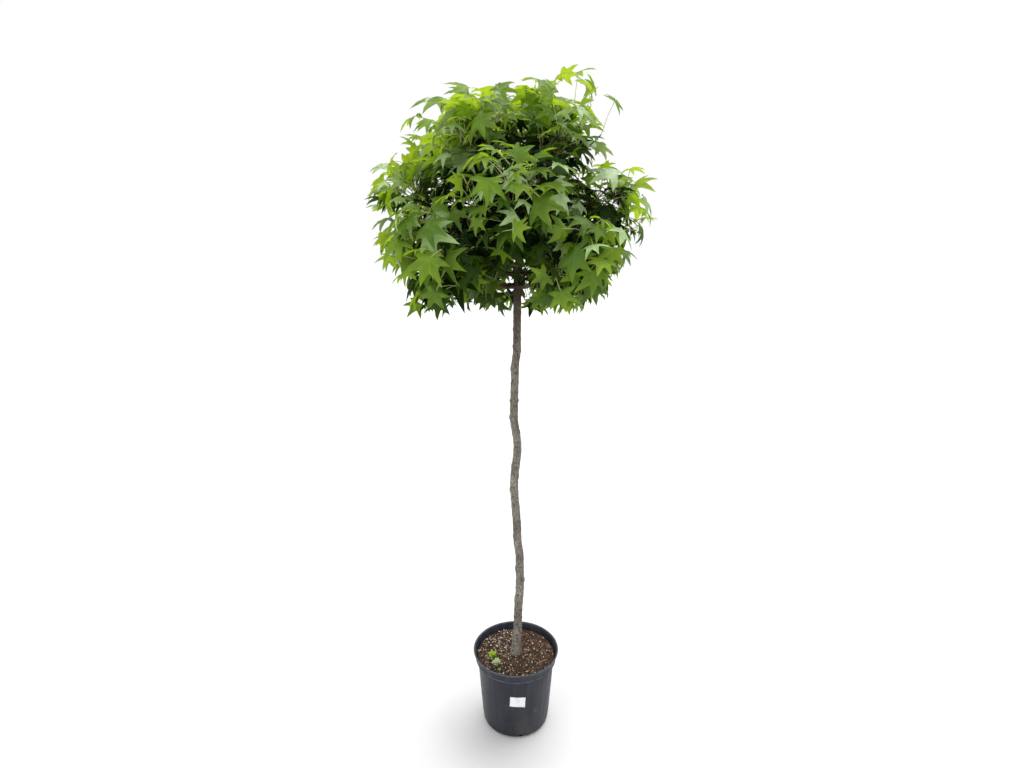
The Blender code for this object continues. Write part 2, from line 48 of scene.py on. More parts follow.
def addPiece(name, bm, materials, nodes, smooth=40):
    mesh = bpy.data.meshes.new(name)
    bm.to_mesh(mesh)
    bm.free()
    mesh.shade_smooth()
    if smooth:
        mesh.set_sharp_from_angle(angle=math.radians(smooth))
    for material in materials:
        mesh.materials.append(material)
    piece = bpy.data.objects.new(name, mesh)
    bpy.context.scene.collection.objects.link(piece)
    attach(piece, "root")
    if nodes:
        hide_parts(*nodes)
    return piece


def newVerts(bm, start):  # the vertices added since the mesh had start of them
    bm.verts.ensure_lookup_table()
    return bm.verts[start:]


def dealFaces(bm, start, index):
    bm.faces.ensure_lookup_table()
    for face in bm.faces[start:]:
        face.material_index = index


def randomDirection(rng):
    height = rng.uniform(-1, 1)
    turn = rng.uniform(0, math.tau)
    flat = math.sqrt(1 - height * height)
    return Vector((flat * math.cos(turn), flat * math.sin(turn), height))


def along(points, share):  # the place at a share of the way along a line of points, and the heading there
    place = min(max(share, 0), 1) * (len(points) - 1)
    first = min(int(place), len(points) - 2)
    step = points[first + 1] - points[first]
    return points[first] + step * (place - first), step.normalized()


def smoothLine(points, perSpan):  # a Catmull-Rom line through the points
    ends = [points[0] * 2 - points[1]] + list(points) + [points[-1] * 2 - points[-2]]
    line = []
    for a, b, c, d in zip(ends, ends[1:], ends[2:], ends[3:]):
        for i in range(perSpan):
            t = i / perSpan
            line.append(0.5 * (
                b * 2 + (c - a) * t + (a * 2 - b * 5 + c * 4 - d) * t**2 + (b * 3 - a - c * 3 + d) * t**3
            ))
    return line + [points[-1]]


def sweepTube(bm, points, radii, sides):  # a closed tube of extruded rings along the points
    heading = (points[1] - points[0]).normalized()
    side = heading.orthogonal().normalized()
    ring = bmesh.ops.create_circle(bm, segments=sides, radius=1)["verts"]
    edges = list({edge for vert in ring for edge in vert.link_edges})
    bmesh.ops.edgeloop_fill(bm, edges=edges)
    for i, (place, radius) in enumerate(zip(points, radii)):
        if i:
            grown = bmesh.ops.extrude_edge_only(bm, edges=edges)["geom"]
            ring = [item for item in grown if isinstance(item, bmesh.types.BMVert)]
            edges = [item for item in grown if isinstance(item, bmesh.types.BMEdge)]
            turned = (place - points[i - 1]).normalized()
            side = (heading.rotation_difference(turned) @ side).normalized()
            heading = turned
        other = heading.cross(side)
        for k, vert in enumerate(ring):
            turn = math.tau * k / sides
            vert.co = place + (side * math.cos(turn) + other * math.sin(turn)) * radius
    bmesh.ops.edgeloop_fill(bm, edges=edges)


def sleeve(bm, sides, rows):  # a unit tube cut into rows, whose points are then laid along a limb
    bmesh.ops.create_cone(bm, cap_ends=True, segments=sides, radius1=1, radius2=1, depth=1)
    upright = [edge for edge in bm.edges if abs(edge.verts[0].co.z - edge.verts[1].co.z) > 0.5]
    bmesh.ops.subdivide_edges(bm, edges=upright, cuts=rows)
    return [(vert, math.atan2(vert.co.y, vert.co.x), vert.co.z + 0.5) for vert in bm.verts]


# small helpers for materials

def socketOf(tree, kind, inputs=None, output=0, **settings):
    node = tree.nodes.new(kind)
    for name, value in settings.items():
        setattr(node, name, value)
    for name, value in (inputs or {}).items():
        if isinstance(value, bpy.types.NodeSocket):
            tree.links.new(value, node.inputs[name])
        else:
            node.inputs[name].default_value = value
    return node.outputs[output]


def newMaterial(name, roughness, specular=0.5):
    material = bpy.data.materials.new(name)
    material.use_nodes = True
    shader = material.node_tree.nodes["Principled BSDF"]
    shader.inputs["Roughness"].default_value = roughness
    shader.inputs["Specular IOR Level"].default_value = specular
    return material, material.node_tree, shader


def objectPlace(tree, stretch=(1, 1, 1)):
    place = socketOf(tree, "ShaderNodeTexCoord", output="Object")
    return socketOf(tree, "ShaderNodeMapping", {"Vector": place, "Scale": stretch})


def noiseOf(tree, scale, detail=4, stretch=(1, 1, 1), rough=0.55):
    values = {"Vector": objectPlace(tree, stretch), "Scale": scale, "Detail": detail, "Roughness": rough}
    return socketOf(tree, "ShaderNodeTexNoise", values, "Fac")


def spotsOf(tree, scale, stretch=(1, 1, 1), jitter=1.0):
    values = {"Vector": objectPlace(tree, stretch), "Scale": scale, "Randomness": jitter}
    return socketOf(tree, "ShaderNodeTexVoronoi", values, "Distance")


def between(tree, value, low, high, newLow=0, newHigh=1):
    values = {"Value": value, "From Min": low, "From Max": high, "To Min": newLow, "To Max": newHigh}
    return socketOf(tree, "ShaderNodeMapRange", values)


def mixed(tree, share, first, second):
    values = {"Fac": share}
    for name, colour in (("Color1", first), ("Color2", second)):
        values[name] = colour if isinstance(colour, bpy.types.NodeSocket) else (*colour, 1)
    return socketOf(tree, "ShaderNodeMixRGB", values)


def times(tree, first, second):
    return socketOf(tree, "ShaderNodeMath", {0: first, 1: second}, operation="MULTIPLY")


def bumpOf(tree, shader, height, strength, distance):
    values = {"Height": height, "Strength": strength, "Distance": distance}
    tree.links.new(socketOf(tree, "ShaderNodeBump", values), shader.inputs["Normal"])


# the stem: its line and thickness are the part's own

stem = {
    "soil": 0.238,
    "top": 1.512,
    "sunk": 0.012,
    "bends": (
        (0.225, 0.001), (0.370, 0.007), (0.490, 0.013), (0.575, 0.012), (0.660, 0.004), (0.840, -0.006),
        (0.958, 0.004), (1.053, -0.007), (1.200, -0.004), (1.260, 0.002), (1.500, 0.003),
    ),
    "sway": 0.006,
    "swayTurns": 1.5,
    "footRadius": 0.0205,
    "lowRadius": 0.0140,
    "highRadius": 0.0112,
    "headRadius": 0.0150,
    "flareHeight": 0.060,
    "headSwell": 0.050,
    "sides": 48,
    "rows": 420,
    # pruning scars as height, degrees round the stem (0 right, -90 front), and size
    "scars": (
        (1.318, 170, 0.9), (1.266, 178, 0.8), (1.251, 4, 0.8), (1.197, -174, 1.1), (1.152, -70, 0.8),
        (1.102, -8, 0.8), (1.100, 180, 0.8), (1.051, 176, 1.2), (1.006, 2, 0.9), (0.948, -110, 0.8),
        (0.900, 180, 1.0), (0.861, 0, 0.9), (0.820, 178, 1.1), (0.745, -60, 0.9), (0.700, 100, 1.0),
        (0.662, -178, 0.8), (0.620, 60, 0.9), (0.541, 176, 1.2), (0.504, 2, 1.1), (0.433, 179, 1.4),
        (0.372, -40, 0.8), (0.345, -110, 0.8),
    ),
    "scarHeight": 0.0056,
    "scarTurn": 0.62,  # how far it reaches round the stem, in radians
    "scarRise": 0.0030,
    "scarReach": 0.04,  # beyond this height from a scar nothing of it is left
    "dimpleTight": 2.6,  # how much narrower than the scar its dimple is
    "dimpleDepth": 0.55,
    "footLobes": 5,
    "footLobeRise": 0.0016,
    "footLean": 0.0012,  # how much further the foot stands out on its left
    "budRings": 0.0525,  # from one ring of old buds to the next
    "budRise": 0.0007,
    "relief": 0.0009,
}

bark = {
    # how closely the relief follows on round the stem and along it
    "scales": ((2.2, 26), (4.5, 60), (9, 240)),
    "shares": (0.7, 0.8, 0.35),  # of plates, fine cracks and grain
}


def stemOffset(height):
    for (low, start), (high, end) in zip(stem["bends"], stem["bends"][1:]):
        if height <= high:
            share = max(height - low, 0) / (high - low)
            return start + (end - start) * (3 - 2 * share) * share * share
    return stem["bends"][-1][1]


def stemAxis(height):
    share = (height - stem["soil"]) / (stem["top"] - stem["soil"])
    sway = stem["sway"] * math.sin(share * math.tau * stem["swayTurns"])
    return Vector((stemOffset(height), sway, height))


def stemRadius(height):
    share = (height - stem["soil"]) / (stem["top"] - stem["soil"])
    radius = stem["lowRadius"] + (stem["highRadius"] - stem["lowRadius"]) * share
    flare = max(1 - (height - stem["soil"]) / stem["flareHeight"], 0)
    head = max(1 - (stem["top"] - height) / stem["headSwell"], 0)
    radius += (stem["footRadius"] - stem["lowRadius"]) * flare**2
    return radius + (stem["headRadius"] - stem["highRadius"]) * math.sin(head * math.pi / 2)


def barkRelief(turn, height, depth):
    flat = Vector((math.cos(turn), math.sin(turn), 0))
    plates, cracks, grain = (
        noise.noise(flat * around + up * height * rise) for around, rise in bark["scales"]
    )
    plateShare, crackShare, grainShare = bark["shares"]
    return depth * (plates * plateShare - abs(cracks) * crackShare + grain * grainShare)


def makeStem(material):
    bm = bmesh.new()
    low = stem["soil"] - stem["sunk"]
    dome = stem["top"] - stem["headRadius"]
    for vert, turn, share in sleeve(bm, stem["sides"], stem["rows"]):
        height = low + (stem["top"] - low) * share
        radius = stemRadius(max(min(height, dome), stem["soil"]))
        if height > dome:
            radius *= math.sqrt(max(1 - ((height - dome) / stem["headRadius"]) ** 2, 0.02))
        flare = max(1 - (height - stem["soil"]) / stem["flareHeight"], 0)
        radius += flare**2 * stem["footLobeRise"] * math.cos(stem["footLobes"] * turn + 0.6)
        radius += flare * stem["footLean"] * math.cos(turn - math.pi)
        for scarHeight, scarTurn, size in stem["scars"]:
            if abs(height - scarHeight) < stem["scarReach"]:
                rise = (height - scarHeight) / (stem["scarHeight"] * size)
                away = math.remainder(turn - math.radians(scarTurn), math.tau) / (stem["scarTurn"] * size)
                bulge = math.exp(-(rise**2) - away**2)
                dimple = math.exp(-((rise * stem["dimpleTight"]) ** 2) - (away * stem["dimpleTight"]) ** 2)
                radius += stem["scarRise"] * size * (bulge - stem["dimpleDepth"] * dimple)
        radius += stem["budRise"] * math.cos(math.tau * height / stem["budRings"]) ** 8
        radius += barkRelief(turn, height, stem["relief"])
        vert.co = stemAxis(height) + Vector((math.cos(turn), math.sin(turn), 0)) * radius
    bmesh.ops.recalc_face_normals(bm, faces=bm.faces)
    return addPiece("stemBark", bm, [material], ["trunk"], 60)


# the crown: the part's masses, each with a bough, a stem and shoots that branch by its rule

crown = {
    # azimuth in degrees (0 right, 90 back, -90 front), distance out, height, reach,
    # and the height where the bough leaves the stem
    "masses": {
        "low_front_left": (-138, 0.280, 1.525, 0.185, 1.446),
        "low_front_right": (-54, 0.225, 1.525, 0.185, 1.450),
        "low_back_right": (40, 0.230, 1.520, 0.185, 1.446),
        "low_back_left": (130, 0.265, 1.515, 0.185, 1.450),
        "middle_left": (178, 0.275, 1.660, 0.190, 1.472),
        "middle_front": (-96, 0.215, 1.660, 0.195, 1.476),
        "middle_right": (-6, 0.222, 1.678, 0.190, 1.470),
        "middle_back": (86, 0.215, 1.660, 0.195, 1.474),
        "top_front_left": (-128, 0.175, 1.812, 0.175, 1.490),
        "top_front_right": (-40, 0.150, 1.862, 0.175, 1.497),
        "top_back_right": (66, 0.145, 1.865, 0.180, 1.494),
        "top_back_left": (152, 0.195, 1.812, 0.180, 1.486),
    },
    "gap": 0.002,
    "inner": 0.118,  # room round each bough, so the head is closed about the fork
    "floor": 1.335,
    "top": 2.03,
    "middle": Vector((-0.02, 0, 1.60)),
    # where the sky or the fork shows through: across, height, breadth, share kept out,
    # and whether it is kept open only in front of the stem
    "lookFrom": Vector((-0.013, -1.68, 1.525)),
    "openings": (
        (-0.378, 1.425, 0.042, 0.95, False), (-0.380, 1.618, 0.017, 0.92, False),
        (-0.200, 1.990, 0.042, 0.95, False), (-0.110, 1.995, 0.024, 0.92, False),
        (0.060, 2.025, 0.034, 0.95, False), (0.138, 1.958, 0.020, 0.95, False),
        (0.225, 1.916, 0.018, 0.95, False), (0.275, 1.885, 0.026, 0.95, False),
        (0.265, 1.850, 0.022, 0.95, False), (0.385, 1.720, 0.034, 0.92, False),
        (0.315, 1.430, 0.034, 0.95, False), (-0.228, 1.912, 0.016, 0.95, False),
        (0.308, 1.772, 0.022, 0.95, False), (0.238, 1.392, 0.014, 0.92, False),
        (-0.046, 1.432, 0.009, 0.97, False), (0.026, 1.418, 0.009, 0.97, False),
        (0.240, 1.690, 0.010, 0.95, False), (0.262, 1.640, 0.008, 0.95, False),
        (-0.300, 1.700, 0.008, 0.95, False), (0.000, 1.478, 0.012, 0.90, True),
        (0.000, 1.430, 0.010, 0.85, True), (0.185, 1.945, 0.014, 0.90, False),
        (0.213, 1.848, 0.011, 0.90, False), (0.217, 1.718, 0.009, 0.95, False),
        (0.240, 1.985, 0.020, 0.90, False), (0.332, 1.640, 0.012, 0.95, False),
    ),
    "front": -0.02,  # a leaf with less y than this is in front of the stem
}

bough = {
    "baseRadius": 0.0056,
    "tipRadius": 0.0034,
    "points": 6,
    "reach": 0.38,
    "sag": 0.020,
    "sway": 0.006,
    "sides": 14,
    "rows": 46,
    "collar": 0.0034,  # how much the root swells where it leaves the stem
    "collarLength": 0.014,
    "ripple": 0.0006,
    "relief": 0.0006,
}

twig = {
    "stemStraight": 0.012,
    "stemPastMiddle": 0.25,
    "stemTipRadius": 0.0016,
    "stemHeld": 0.007,  # how near the stem's line the root of a shoot or stalk on it lies
    "stemShortest": 4,  # points of the stem that stay, whatever grows on them
    "shoots": 7,
    "candidates": 60,
    "shootPoints": 3,
    "shootRadii": (0.0023, 0.0014),
    "shootFirst": 0.08,
    "shootLean": 0.30,
    "shootSag": 0.12,
    "shootShortest": 0.045,
    "endMargin": 0.048,
    "searchStep": 0.010,
    "sideTwigs": 4,
    "sideFork": (0.25, 0.96),  # how far along its parent a side twig leaves
    "sideAlong": 0.8,
    "sideAway": 0.5,
    "sideDown": 0.3,  # for those that leave a bough
    "sideArch": 0.06,
    "sideLength": (0.045, 0.095),
    "sideRadii": (0.0013, 0.0008),
    "sideMargin": 0.030,
}


def massMiddle(mass):
    turn = math.radians(mass[0])
    return Vector((mass[1] * math.cos(turn), mass[1] * math.sin(turn), mass[2]))


def boughLine(mass):
    start = stemAxis(min(mass[4], stem["top"] - stem["headRadius"]))
    aim = massMiddle(mass) - start
    end = start + aim * bough["reach"]
    side = Vector((aim.x, aim.y, 0)).normalized().cross(up) * bough["sway"]
    points = []
    for i in range(bough["points"]):
        share = i / (bough["points"] - 1)
        sag = up * bough["sag"] * math.sin(share * math.pi)
        points.append(start.lerp(end, share) - sag + side * math.sin(share * math.tau))
    return points


def stemLine(mass, boughPoints):
    tip = boughPoints[-1]
    heading = (tip - boughPoints[-2]).normalized()
    middle = massMiddle(mass)
    end = middle + (middle - tip) * twig["stemPastMiddle"]
    bend = tip + heading * twig["stemStraight"]
    return [tip, bend, bend.lerp(end, 1 / 3), bend.lerp(end, 2 / 3), end]


def spaceOf(mass):
    middle = massMiddle(mass)
    planes = []
    for other in crown["masses"].values():
        if other is not mass:
            step = massMiddle(other) - middle
            planes.append((step.normalized(), step.length / 2 - crown["gap"] / 2))
    return middle, mass[3], planes, smoothLine(boughLine(mass), 2)


def inSpace(space, point, margin=0.0, overlap=0.0, inner=False):
    middle, reach, planes, limb = space
    off = point - middle
    if off.length > reach - margin:
        if not inner or min((point - place).length for place in limb) > crown["inner"] - margin:
            return False
    if point.z < crown["floor"] + margin:
        return False
    return all(off.dot(normal) < limit + overlap - margin for normal, limit in planes)


def keptOpen(points, rng):  # whether a leaf or twig would stand in a line of sight that stays open
    seen = crown["lookFrom"]
    for across, height, breadth, share, inFront in crown["openings"]:
        if inFront and points[0].y > crown["front"]:
            continue
        aim = (Vector((across, 0, height)) - seen).normalized()
        if min((point - seen - aim * (point - seen).dot(aim)).length for point in points) < breadth:
            if rng.random() < share:
                return True
    return False


def shootEnds(space, stemPoints, rng):
    middle, reach = space[:2]
    found = []
    for i in range(twig["candidates"]):
        direction = randomDirection(rng)
        out = reach
        while out > 0 and not inSpace(space, middle + direction * out, twig["endMargin"]):
            out -= twig["searchStep"]
        if out > 0:
            found.append(middle + direction * out)
    ends = [stemPoints[-1]]
    while found and len(ends) <= twig["shoots"]:
        best = max(found, key=lambda place: min((place - end).length for end in ends))
        found.remove(best)
        ends.append(best)
    return ends[1:]


def shootLine(stemPoints, end):
    stations = [i / 20 for i in range(21)]
    nearest = min(stations, key=lambda share: (along(stemPoints, share)[0] - end).length)
    root = along(stemPoints, max(nearest - twig["shootLean"], twig["shootFirst"]))[0]
    length = (end - root).length
    points = []
    for i in range(twig["shootPoints"]):
        share = i / (twig["shootPoints"] - 1)
        points.append(root.lerp(end, share) - up * twig["shootSag"] * length * math.sin(share * math.pi))
    return points if length > twig["shootShortest"] else None


def growTwigs(space, stemPoints, rng):  # shoots by the part's rule, then finer side twigs on each
    shoots = [shootLine(stemPoints, end) for end in shootEnds(space, stemPoints, rng)]
    shoots = [smoothLine(points, 4) for points in shoots if points and not keptOpen(points[-1:], rng)]
    sides, forks = [], []
    for parent in shoots + [smoothLine(stemPoints, 3), space[3], space[3]]:
        for i in range(twig["sideTwigs"]):
            fork = rng.uniform(*twig["sideFork"])
            root, heading = along(parent, fork)
            away = (root - crown["middle"]).normalized() * twig["sideAway"]
            if parent is space[3]:
                away = -up * twig["sideDown"]
            out = (heading * twig["sideAlong"] + randomDirection(rng) + away).normalized()
            length = rng.uniform(*twig["sideLength"])
            end = root + out * length
            if inSpace(space, end, twig["sideMargin"], 0, True) and not keptOpen([end], rng):
                bend = root.lerp(end, 0.5) + up * length * twig["sideArch"]
                sides.append(smoothLine([root, bend, end], 3))
                forks.append((parent, fork))
    return shoots, sides, forks


def cutLine(points, share):  # the line as far as a share of the way along it
    steps = max(round(share * (len(points) - 1)), 1)
    return points[:steps] + [along(points, share)[0]]


def trimTwigs(shoots, sides, forks, leaves):  # no twig is left bare past its last leaf or side twig
    ends = {}
    for one in leaves:
        ends[one.spray[1]] = max(ends.get(one.spray[1], 0), one.share)
    for index, (parent, fork) in enumerate(forks):
        for place, points in enumerate(shoots):
            if parent is points and len(shoots) + index in ends:
                ends[place] = max(ends.get(place, 0), fork)
    lines = [(place, points) for place, points in enumerate(shoots + sides) if place in ends]
    keptShoots = [cutLine(points, ends[place]) for place, points in lines if place < len(shoots)]
    keptSides = [cutLine(points, ends[place]) for place, points in lines if place >= len(shoots)]
    return keptShoots, keptSides


def makeBoughs(material):
    bm = bmesh.new()
    for index, mass in enumerate(crown["masses"].values()):
        one = bmesh.new()
        points = smoothLine(boughLine(mass), 6)
        length = sum((b - a).length for a, b in zip(points, points[1:]))
        for vert, turn, share in sleeve(one, bough["sides"], bough["rows"]):
            place, heading = along(points, share)
            side = heading.cross(up).normalized()
            other = side.cross(heading)
            radius = bough["baseRadius"] + (bough["tipRadius"] - bough["baseRadius"]) * share
            fromBark = max(share * length - stem["headRadius"], 0)
            radius += bough["collar"] * math.exp(-fromBark / bough["collarLength"])
            radius += bough["ripple"] * math.cos(share * math.tau * 3 + index) ** 6
            radius += barkRelief(turn, share * length + index, bough["relief"])
            vert.co = place + (side * math.cos(turn) + other * math.sin(turn)) * radius
        bmesh.ops.recalc_face_normals(one, faces=one.faces)
        mesh = bpy.data.meshes.new("oneBough")
        one.to_mesh(mesh)
        one.free()
        bm.from_mesh(mesh)
        bpy.data.meshes.remove(mesh)
    names = [f"bough_{name}" for name in crown["masses"]]
    return addPiece("boughBark", bm, [material], names, 60)


# the leaves: five-lobed stars in a few shapes, hung from long stalks

leaf = {
    "blade": 0.060,  # from the stalk to the middle tip
    "sizes": (0.52, 1.25, 0.74),  # smallest, largest, commonest
    "bigSizes": (1.12, 1.40),  # the few big leaves of each mass, placed first
    "bigTries": 260,
    "bigMost": 6,
    "bigSpacing": 0.075,
    "bigTop": 1.79,
    "outside": (0.86, 1.16, 0.42),  # leaves are larger away from the middle of the head, up to this far out
    "lobes": ((0, 1.00), (51, 0.95), (106, 0.74)),
    "notches": ((25, 0.49), (79, 0.43)),
    "heel": (150, 0.17),
    "shoulders": ((0.50, 0.165), (0.76, 0.098)),  # share of the lobe, and half its width there
    "shapes": 8,
    "lobeTurn": 4,  # degrees by which a lobe may stray
    "notchTurn": 2,
    "lobeLength": (0.92, 1.08),
    "lobeWidth": (0.88, 1.12),
    "shoulderPlace": (0.96, 1.04),
    "droop": (0.10, 0.60),
    "fold": (0.15, 0.70),
    "twist": (-0.35, 0.35),
    "foldDepth": 0.12,
    "sideDroop": 0.10,
    "centre": 0.30,
    "perMass": 160,
    "tries": 12000,
    "outer": (0.60, 1.0, 0.76),  # share of the mass's reach at which a leaf may hang: few are at its edge
    "spacings": (0.041, 0.031, 0.024, 0.018),
    "edgeMost": 0.070,
    "ragged": 0.030,  # how far inside the mass's edge the tips of a leaf may end
    "lowShare": 0.16,  # few leaves hang below the rest
    "lowRoom": 0.030,
    "overlap": 0.028,  # how far a leaf may cross into the next mass's space
    "stalk": (0.035, 0.095),
    "stalkRadius": 0.0010,
    "stalkAlong": 0.3,
    "stalkAway": 0.6,
    "stalkUp": 0.4,
    "stalkBehind": 0.25,
    "stalkUnder": 0.018,  # how far under the blade its stalk ends, as a share of the blade
    "stalkArch": 0.07,
    "rootFirst": 0.20,
    "neighbours": 0.25,  # how far past a mass's reach leaves of other masses are looked for
    "hangOut": 0.75,
    "hangLow": 0.82,
    "hangHigh": -0.25,
    "hangWander": 0.58,
    "highWander": 0.40,  # how much freer the leaves at the top stand
    "riseBend": 1.5,  # over 1, the change from low to high comes late
    "faceUp": 0.6,
    "faceAway": 0.6,
    "faceWander": 0.48,
}


def leafRim(rng):  # the blade's outline as x, y, and how far each point stands from its lobe's rib
    rim = []
    for sign in (1, -1):
        for index, (angle, length) in enumerate(leaf["lobes"]):
            if sign < 0 and index == 0:
                continue
            turn = math.radians(angle + rng.uniform(-leaf["lobeTurn"], leaf["lobeTurn"])) * sign
            length *= rng.uniform(*leaf["lobeLength"])
            rib = Vector((math.cos(turn), math.sin(turn)))
            across = Vector((-rib.y, rib.x)) * (0.4 + 0.6 * length)
            rim.append((rib * length, 0, True))
            for share, half in leaf["shoulders"]:
                for side in (1, -1):
                    spread = across * side * half * rng.uniform(*leaf["lobeWidth"])
                    shoulder = rib * length * share * rng.uniform(*leaf["shoulderPlace"])
                    rim.append((shoulder + spread, 1, False))
        for angle, length in leaf["notches"] + (leaf["heel"],):
            turn = math.radians(angle + rng.uniform(-leaf["notchTurn"], leaf["notchTurn"])) * sign
            rim.append((Vector((math.cos(turn), math.sin(turn))) * length, 1, False))
    return sorted(rim, key=lambda item: math.atan2(item[0].y, item[0].x))


def makeLeafShape(index):
    rng = random.Random(seed * 31 + index)
    rim = leafRim(rng)
    bm = bmesh.new()
    offRib = bm.verts.layers.float.new("offRib")  # 0 along the ribs, 1 between them
    bmesh.ops.create_circle(bm, cap_ends=True, cap_tris=True, segments=len(rim), radius=1)
    middle = min(bm.verts, key=lambda vert: vert.co.length)
    ring = sorted((v for v in bm.verts if v is not middle), key=lambda v: math.atan2(v.co.y, v.co.x))
    tips = []
    for vert, (place, stand, tip) in zip(ring, rim):
        vert.co = (place.x, place.y, 0)
        vert[offRib] = stand
        if tip:
            tips.append(vert)
    spokes = [edge for edge in middle.link_edges if edge.other_vert(middle) in tips]
    bmesh.ops.subdivide_edges(bm, edges=spokes, cuts=1)
    droop = rng.uniform(*leaf["droop"])
    fold = rng.uniform(*leaf["fold"])
    twist = rng.uniform(*leaf["twist"])
    for vert in bm.verts:
        x, y = vert.co.x, vert.co.y
        sag = -droop * (x * x + y * y) + fold * leaf["foldDepth"] * vert[offRib]
        vert.co.z = sag + twist * x * y - leaf["sideDroop"] * y * y
    if sum(face.normal.z for face in bm.faces) < 0:
        bmesh.ops.reverse_faces(bm, faces=bm.faces)
    mesh = bpy.data.meshes.new(f"leafShape{index}")
    bm.to_mesh(mesh)
    bm.free()
    return mesh


def bladeMatrix(place, out, rng):
    flat = Vector((out.x, out.y, 0)).normalized()
    rise = (place.z - crown["floor"]) / (crown["top"] - crown["floor"])
    rise = max(rise, 0) ** leaf["riseBend"]
    drop = leaf["hangLow"] + (leaf["hangHigh"] - leaf["hangLow"]) * rise
    free = leaf["highWander"] * rise
    wander = randomDirection(rng) * (leaf["hangWander"] + free)
    hang = (flat * leaf["hangOut"] - up * drop + wander).normalized()
    away = (place - crown["middle"]).normalized()
    wander = randomDirection(rng) * (leaf["faceWander"] + free)
    face = up * leaf["faceUp"] + away * leaf["faceAway"] + wander
    face = (face - hang * face.dot(hang)).normalized()
    return Matrix.Translation(place) @ Matrix((hang, face.cross(hang), face)).transposed().to_4x4()


class Leaf:  # one leaf as it is grown: where it sits, its shape, its stalk, and its place on its spray
    def __init__(self, matrix, shape, stalk, spray, share, centre, tree):
        self.matrix = matrix
        self.shape = shape
        self.stalk = stalk
        self.spray = spray
        self.share = share
        self.centre = centre
        self.tree = tree
        self.open = 0
        self.colour = 0


def growLeaves(name, space, twigs, shapes, limbs, grown, rng):
    leaves = []
    near = [other for other in grown if (other.centre - space[0]).length < space[1] + leaf["neighbours"]]
    for attempt in range(leaf["tries"]):
        if len(leaves) == leaf["perMass"]:
            break
        big = attempt < leaf["bigTries"]
        if big and len(leaves) == leaf["bigMost"]:
            continue
        spray = rng.randrange(len(twigs))
        share = rng.uniform(leaf["rootFirst"], 1)
        root, heading = along(twigs[spray], share)
        away = (root - crown["middle"]).normalized()
        out = randomDirection(rng) + heading * leaf["stalkAlong"] + away * leaf["stalkAway"]
        out = (out + up * leaf["stalkUp"]).normalized()
        place = root + out * rng.uniform(*leaf["stalk"])
        blade = leaf["blade"] * (rng.uniform(*leaf["bigSizes"]) if big else rng.triangular(*leaf["sizes"]))
        least, most, far = leaf["outside"]
        blade *= 1 if big else least + (most - least) * min((place - crown["middle"]).length / far, 1) ** 2
        matrix = bladeMatrix(place, out, rng)
        centre = matrix @ Vector((blade * leaf["centre"], 0, 0))
        edge = space[1] * (1 - rng.triangular(*leaf["outer"]))
        if not inSpace(space, centre, min(edge, leaf["edgeMost"]), leaf["overlap"] + edge, True):
            continue
        stalk = matrix.inverted() @ root
        if -stalk.x < leaf["stalkBehind"] * stalk.length:
            continue
        if big and centre.z > leaf["bigTop"]:
            continue
        close = [other for other in near if (centre - other.centre).length < blade * 2]
        spacing = leaf["spacings"][attempt * len(leaf["spacings"]) // leaf["tries"]]
        spacing = leaf["bigSpacing"] if big else spacing
        if any((centre - other.centre).length < spacing for other in close):
            continue
        shape = rng.randrange(len(shapes))
        matrix = matrix @ Matrix.Scale(blade, 4)
        points, faces = shapes[shape]
        points = [matrix @ point for point in points]
        ragged = rng.uniform(0, leaf["ragged"])
        low = crown["floor"] + (0 if rng.random() < leaf["lowShare"] else leaf["lowRoom"])
        if min(point.z for point in points) < low:
            continue
        if not all(inSpace(space, point, ragged, leaf["overlap"] * 2 + ragged, True) for point in points):
            continue
        if keptOpen(points, rng):
            continue
        tree = BVHTree.FromPolygons(points, faces)
        if any(tree.overlap(other.tree) for other in close) or any(tree.overlap(limb) for limb in limbs):
            continue
        joint = matrix @ (up * -leaf["stalkUnder"])
        bend = root.lerp(joint, 0.5) + up * (joint - root).length * leaf["stalkArch"]
        grownLeaf = Leaf(matrix, shape, [root, bend, joint], (name, spray), share, centre, tree)
        leaves.append(grownLeaf)
        near.append(grownLeaf)
    return leaves


# colours are dealt out by spray as painted light and shade: open sprays are bright, sheltered ones dark

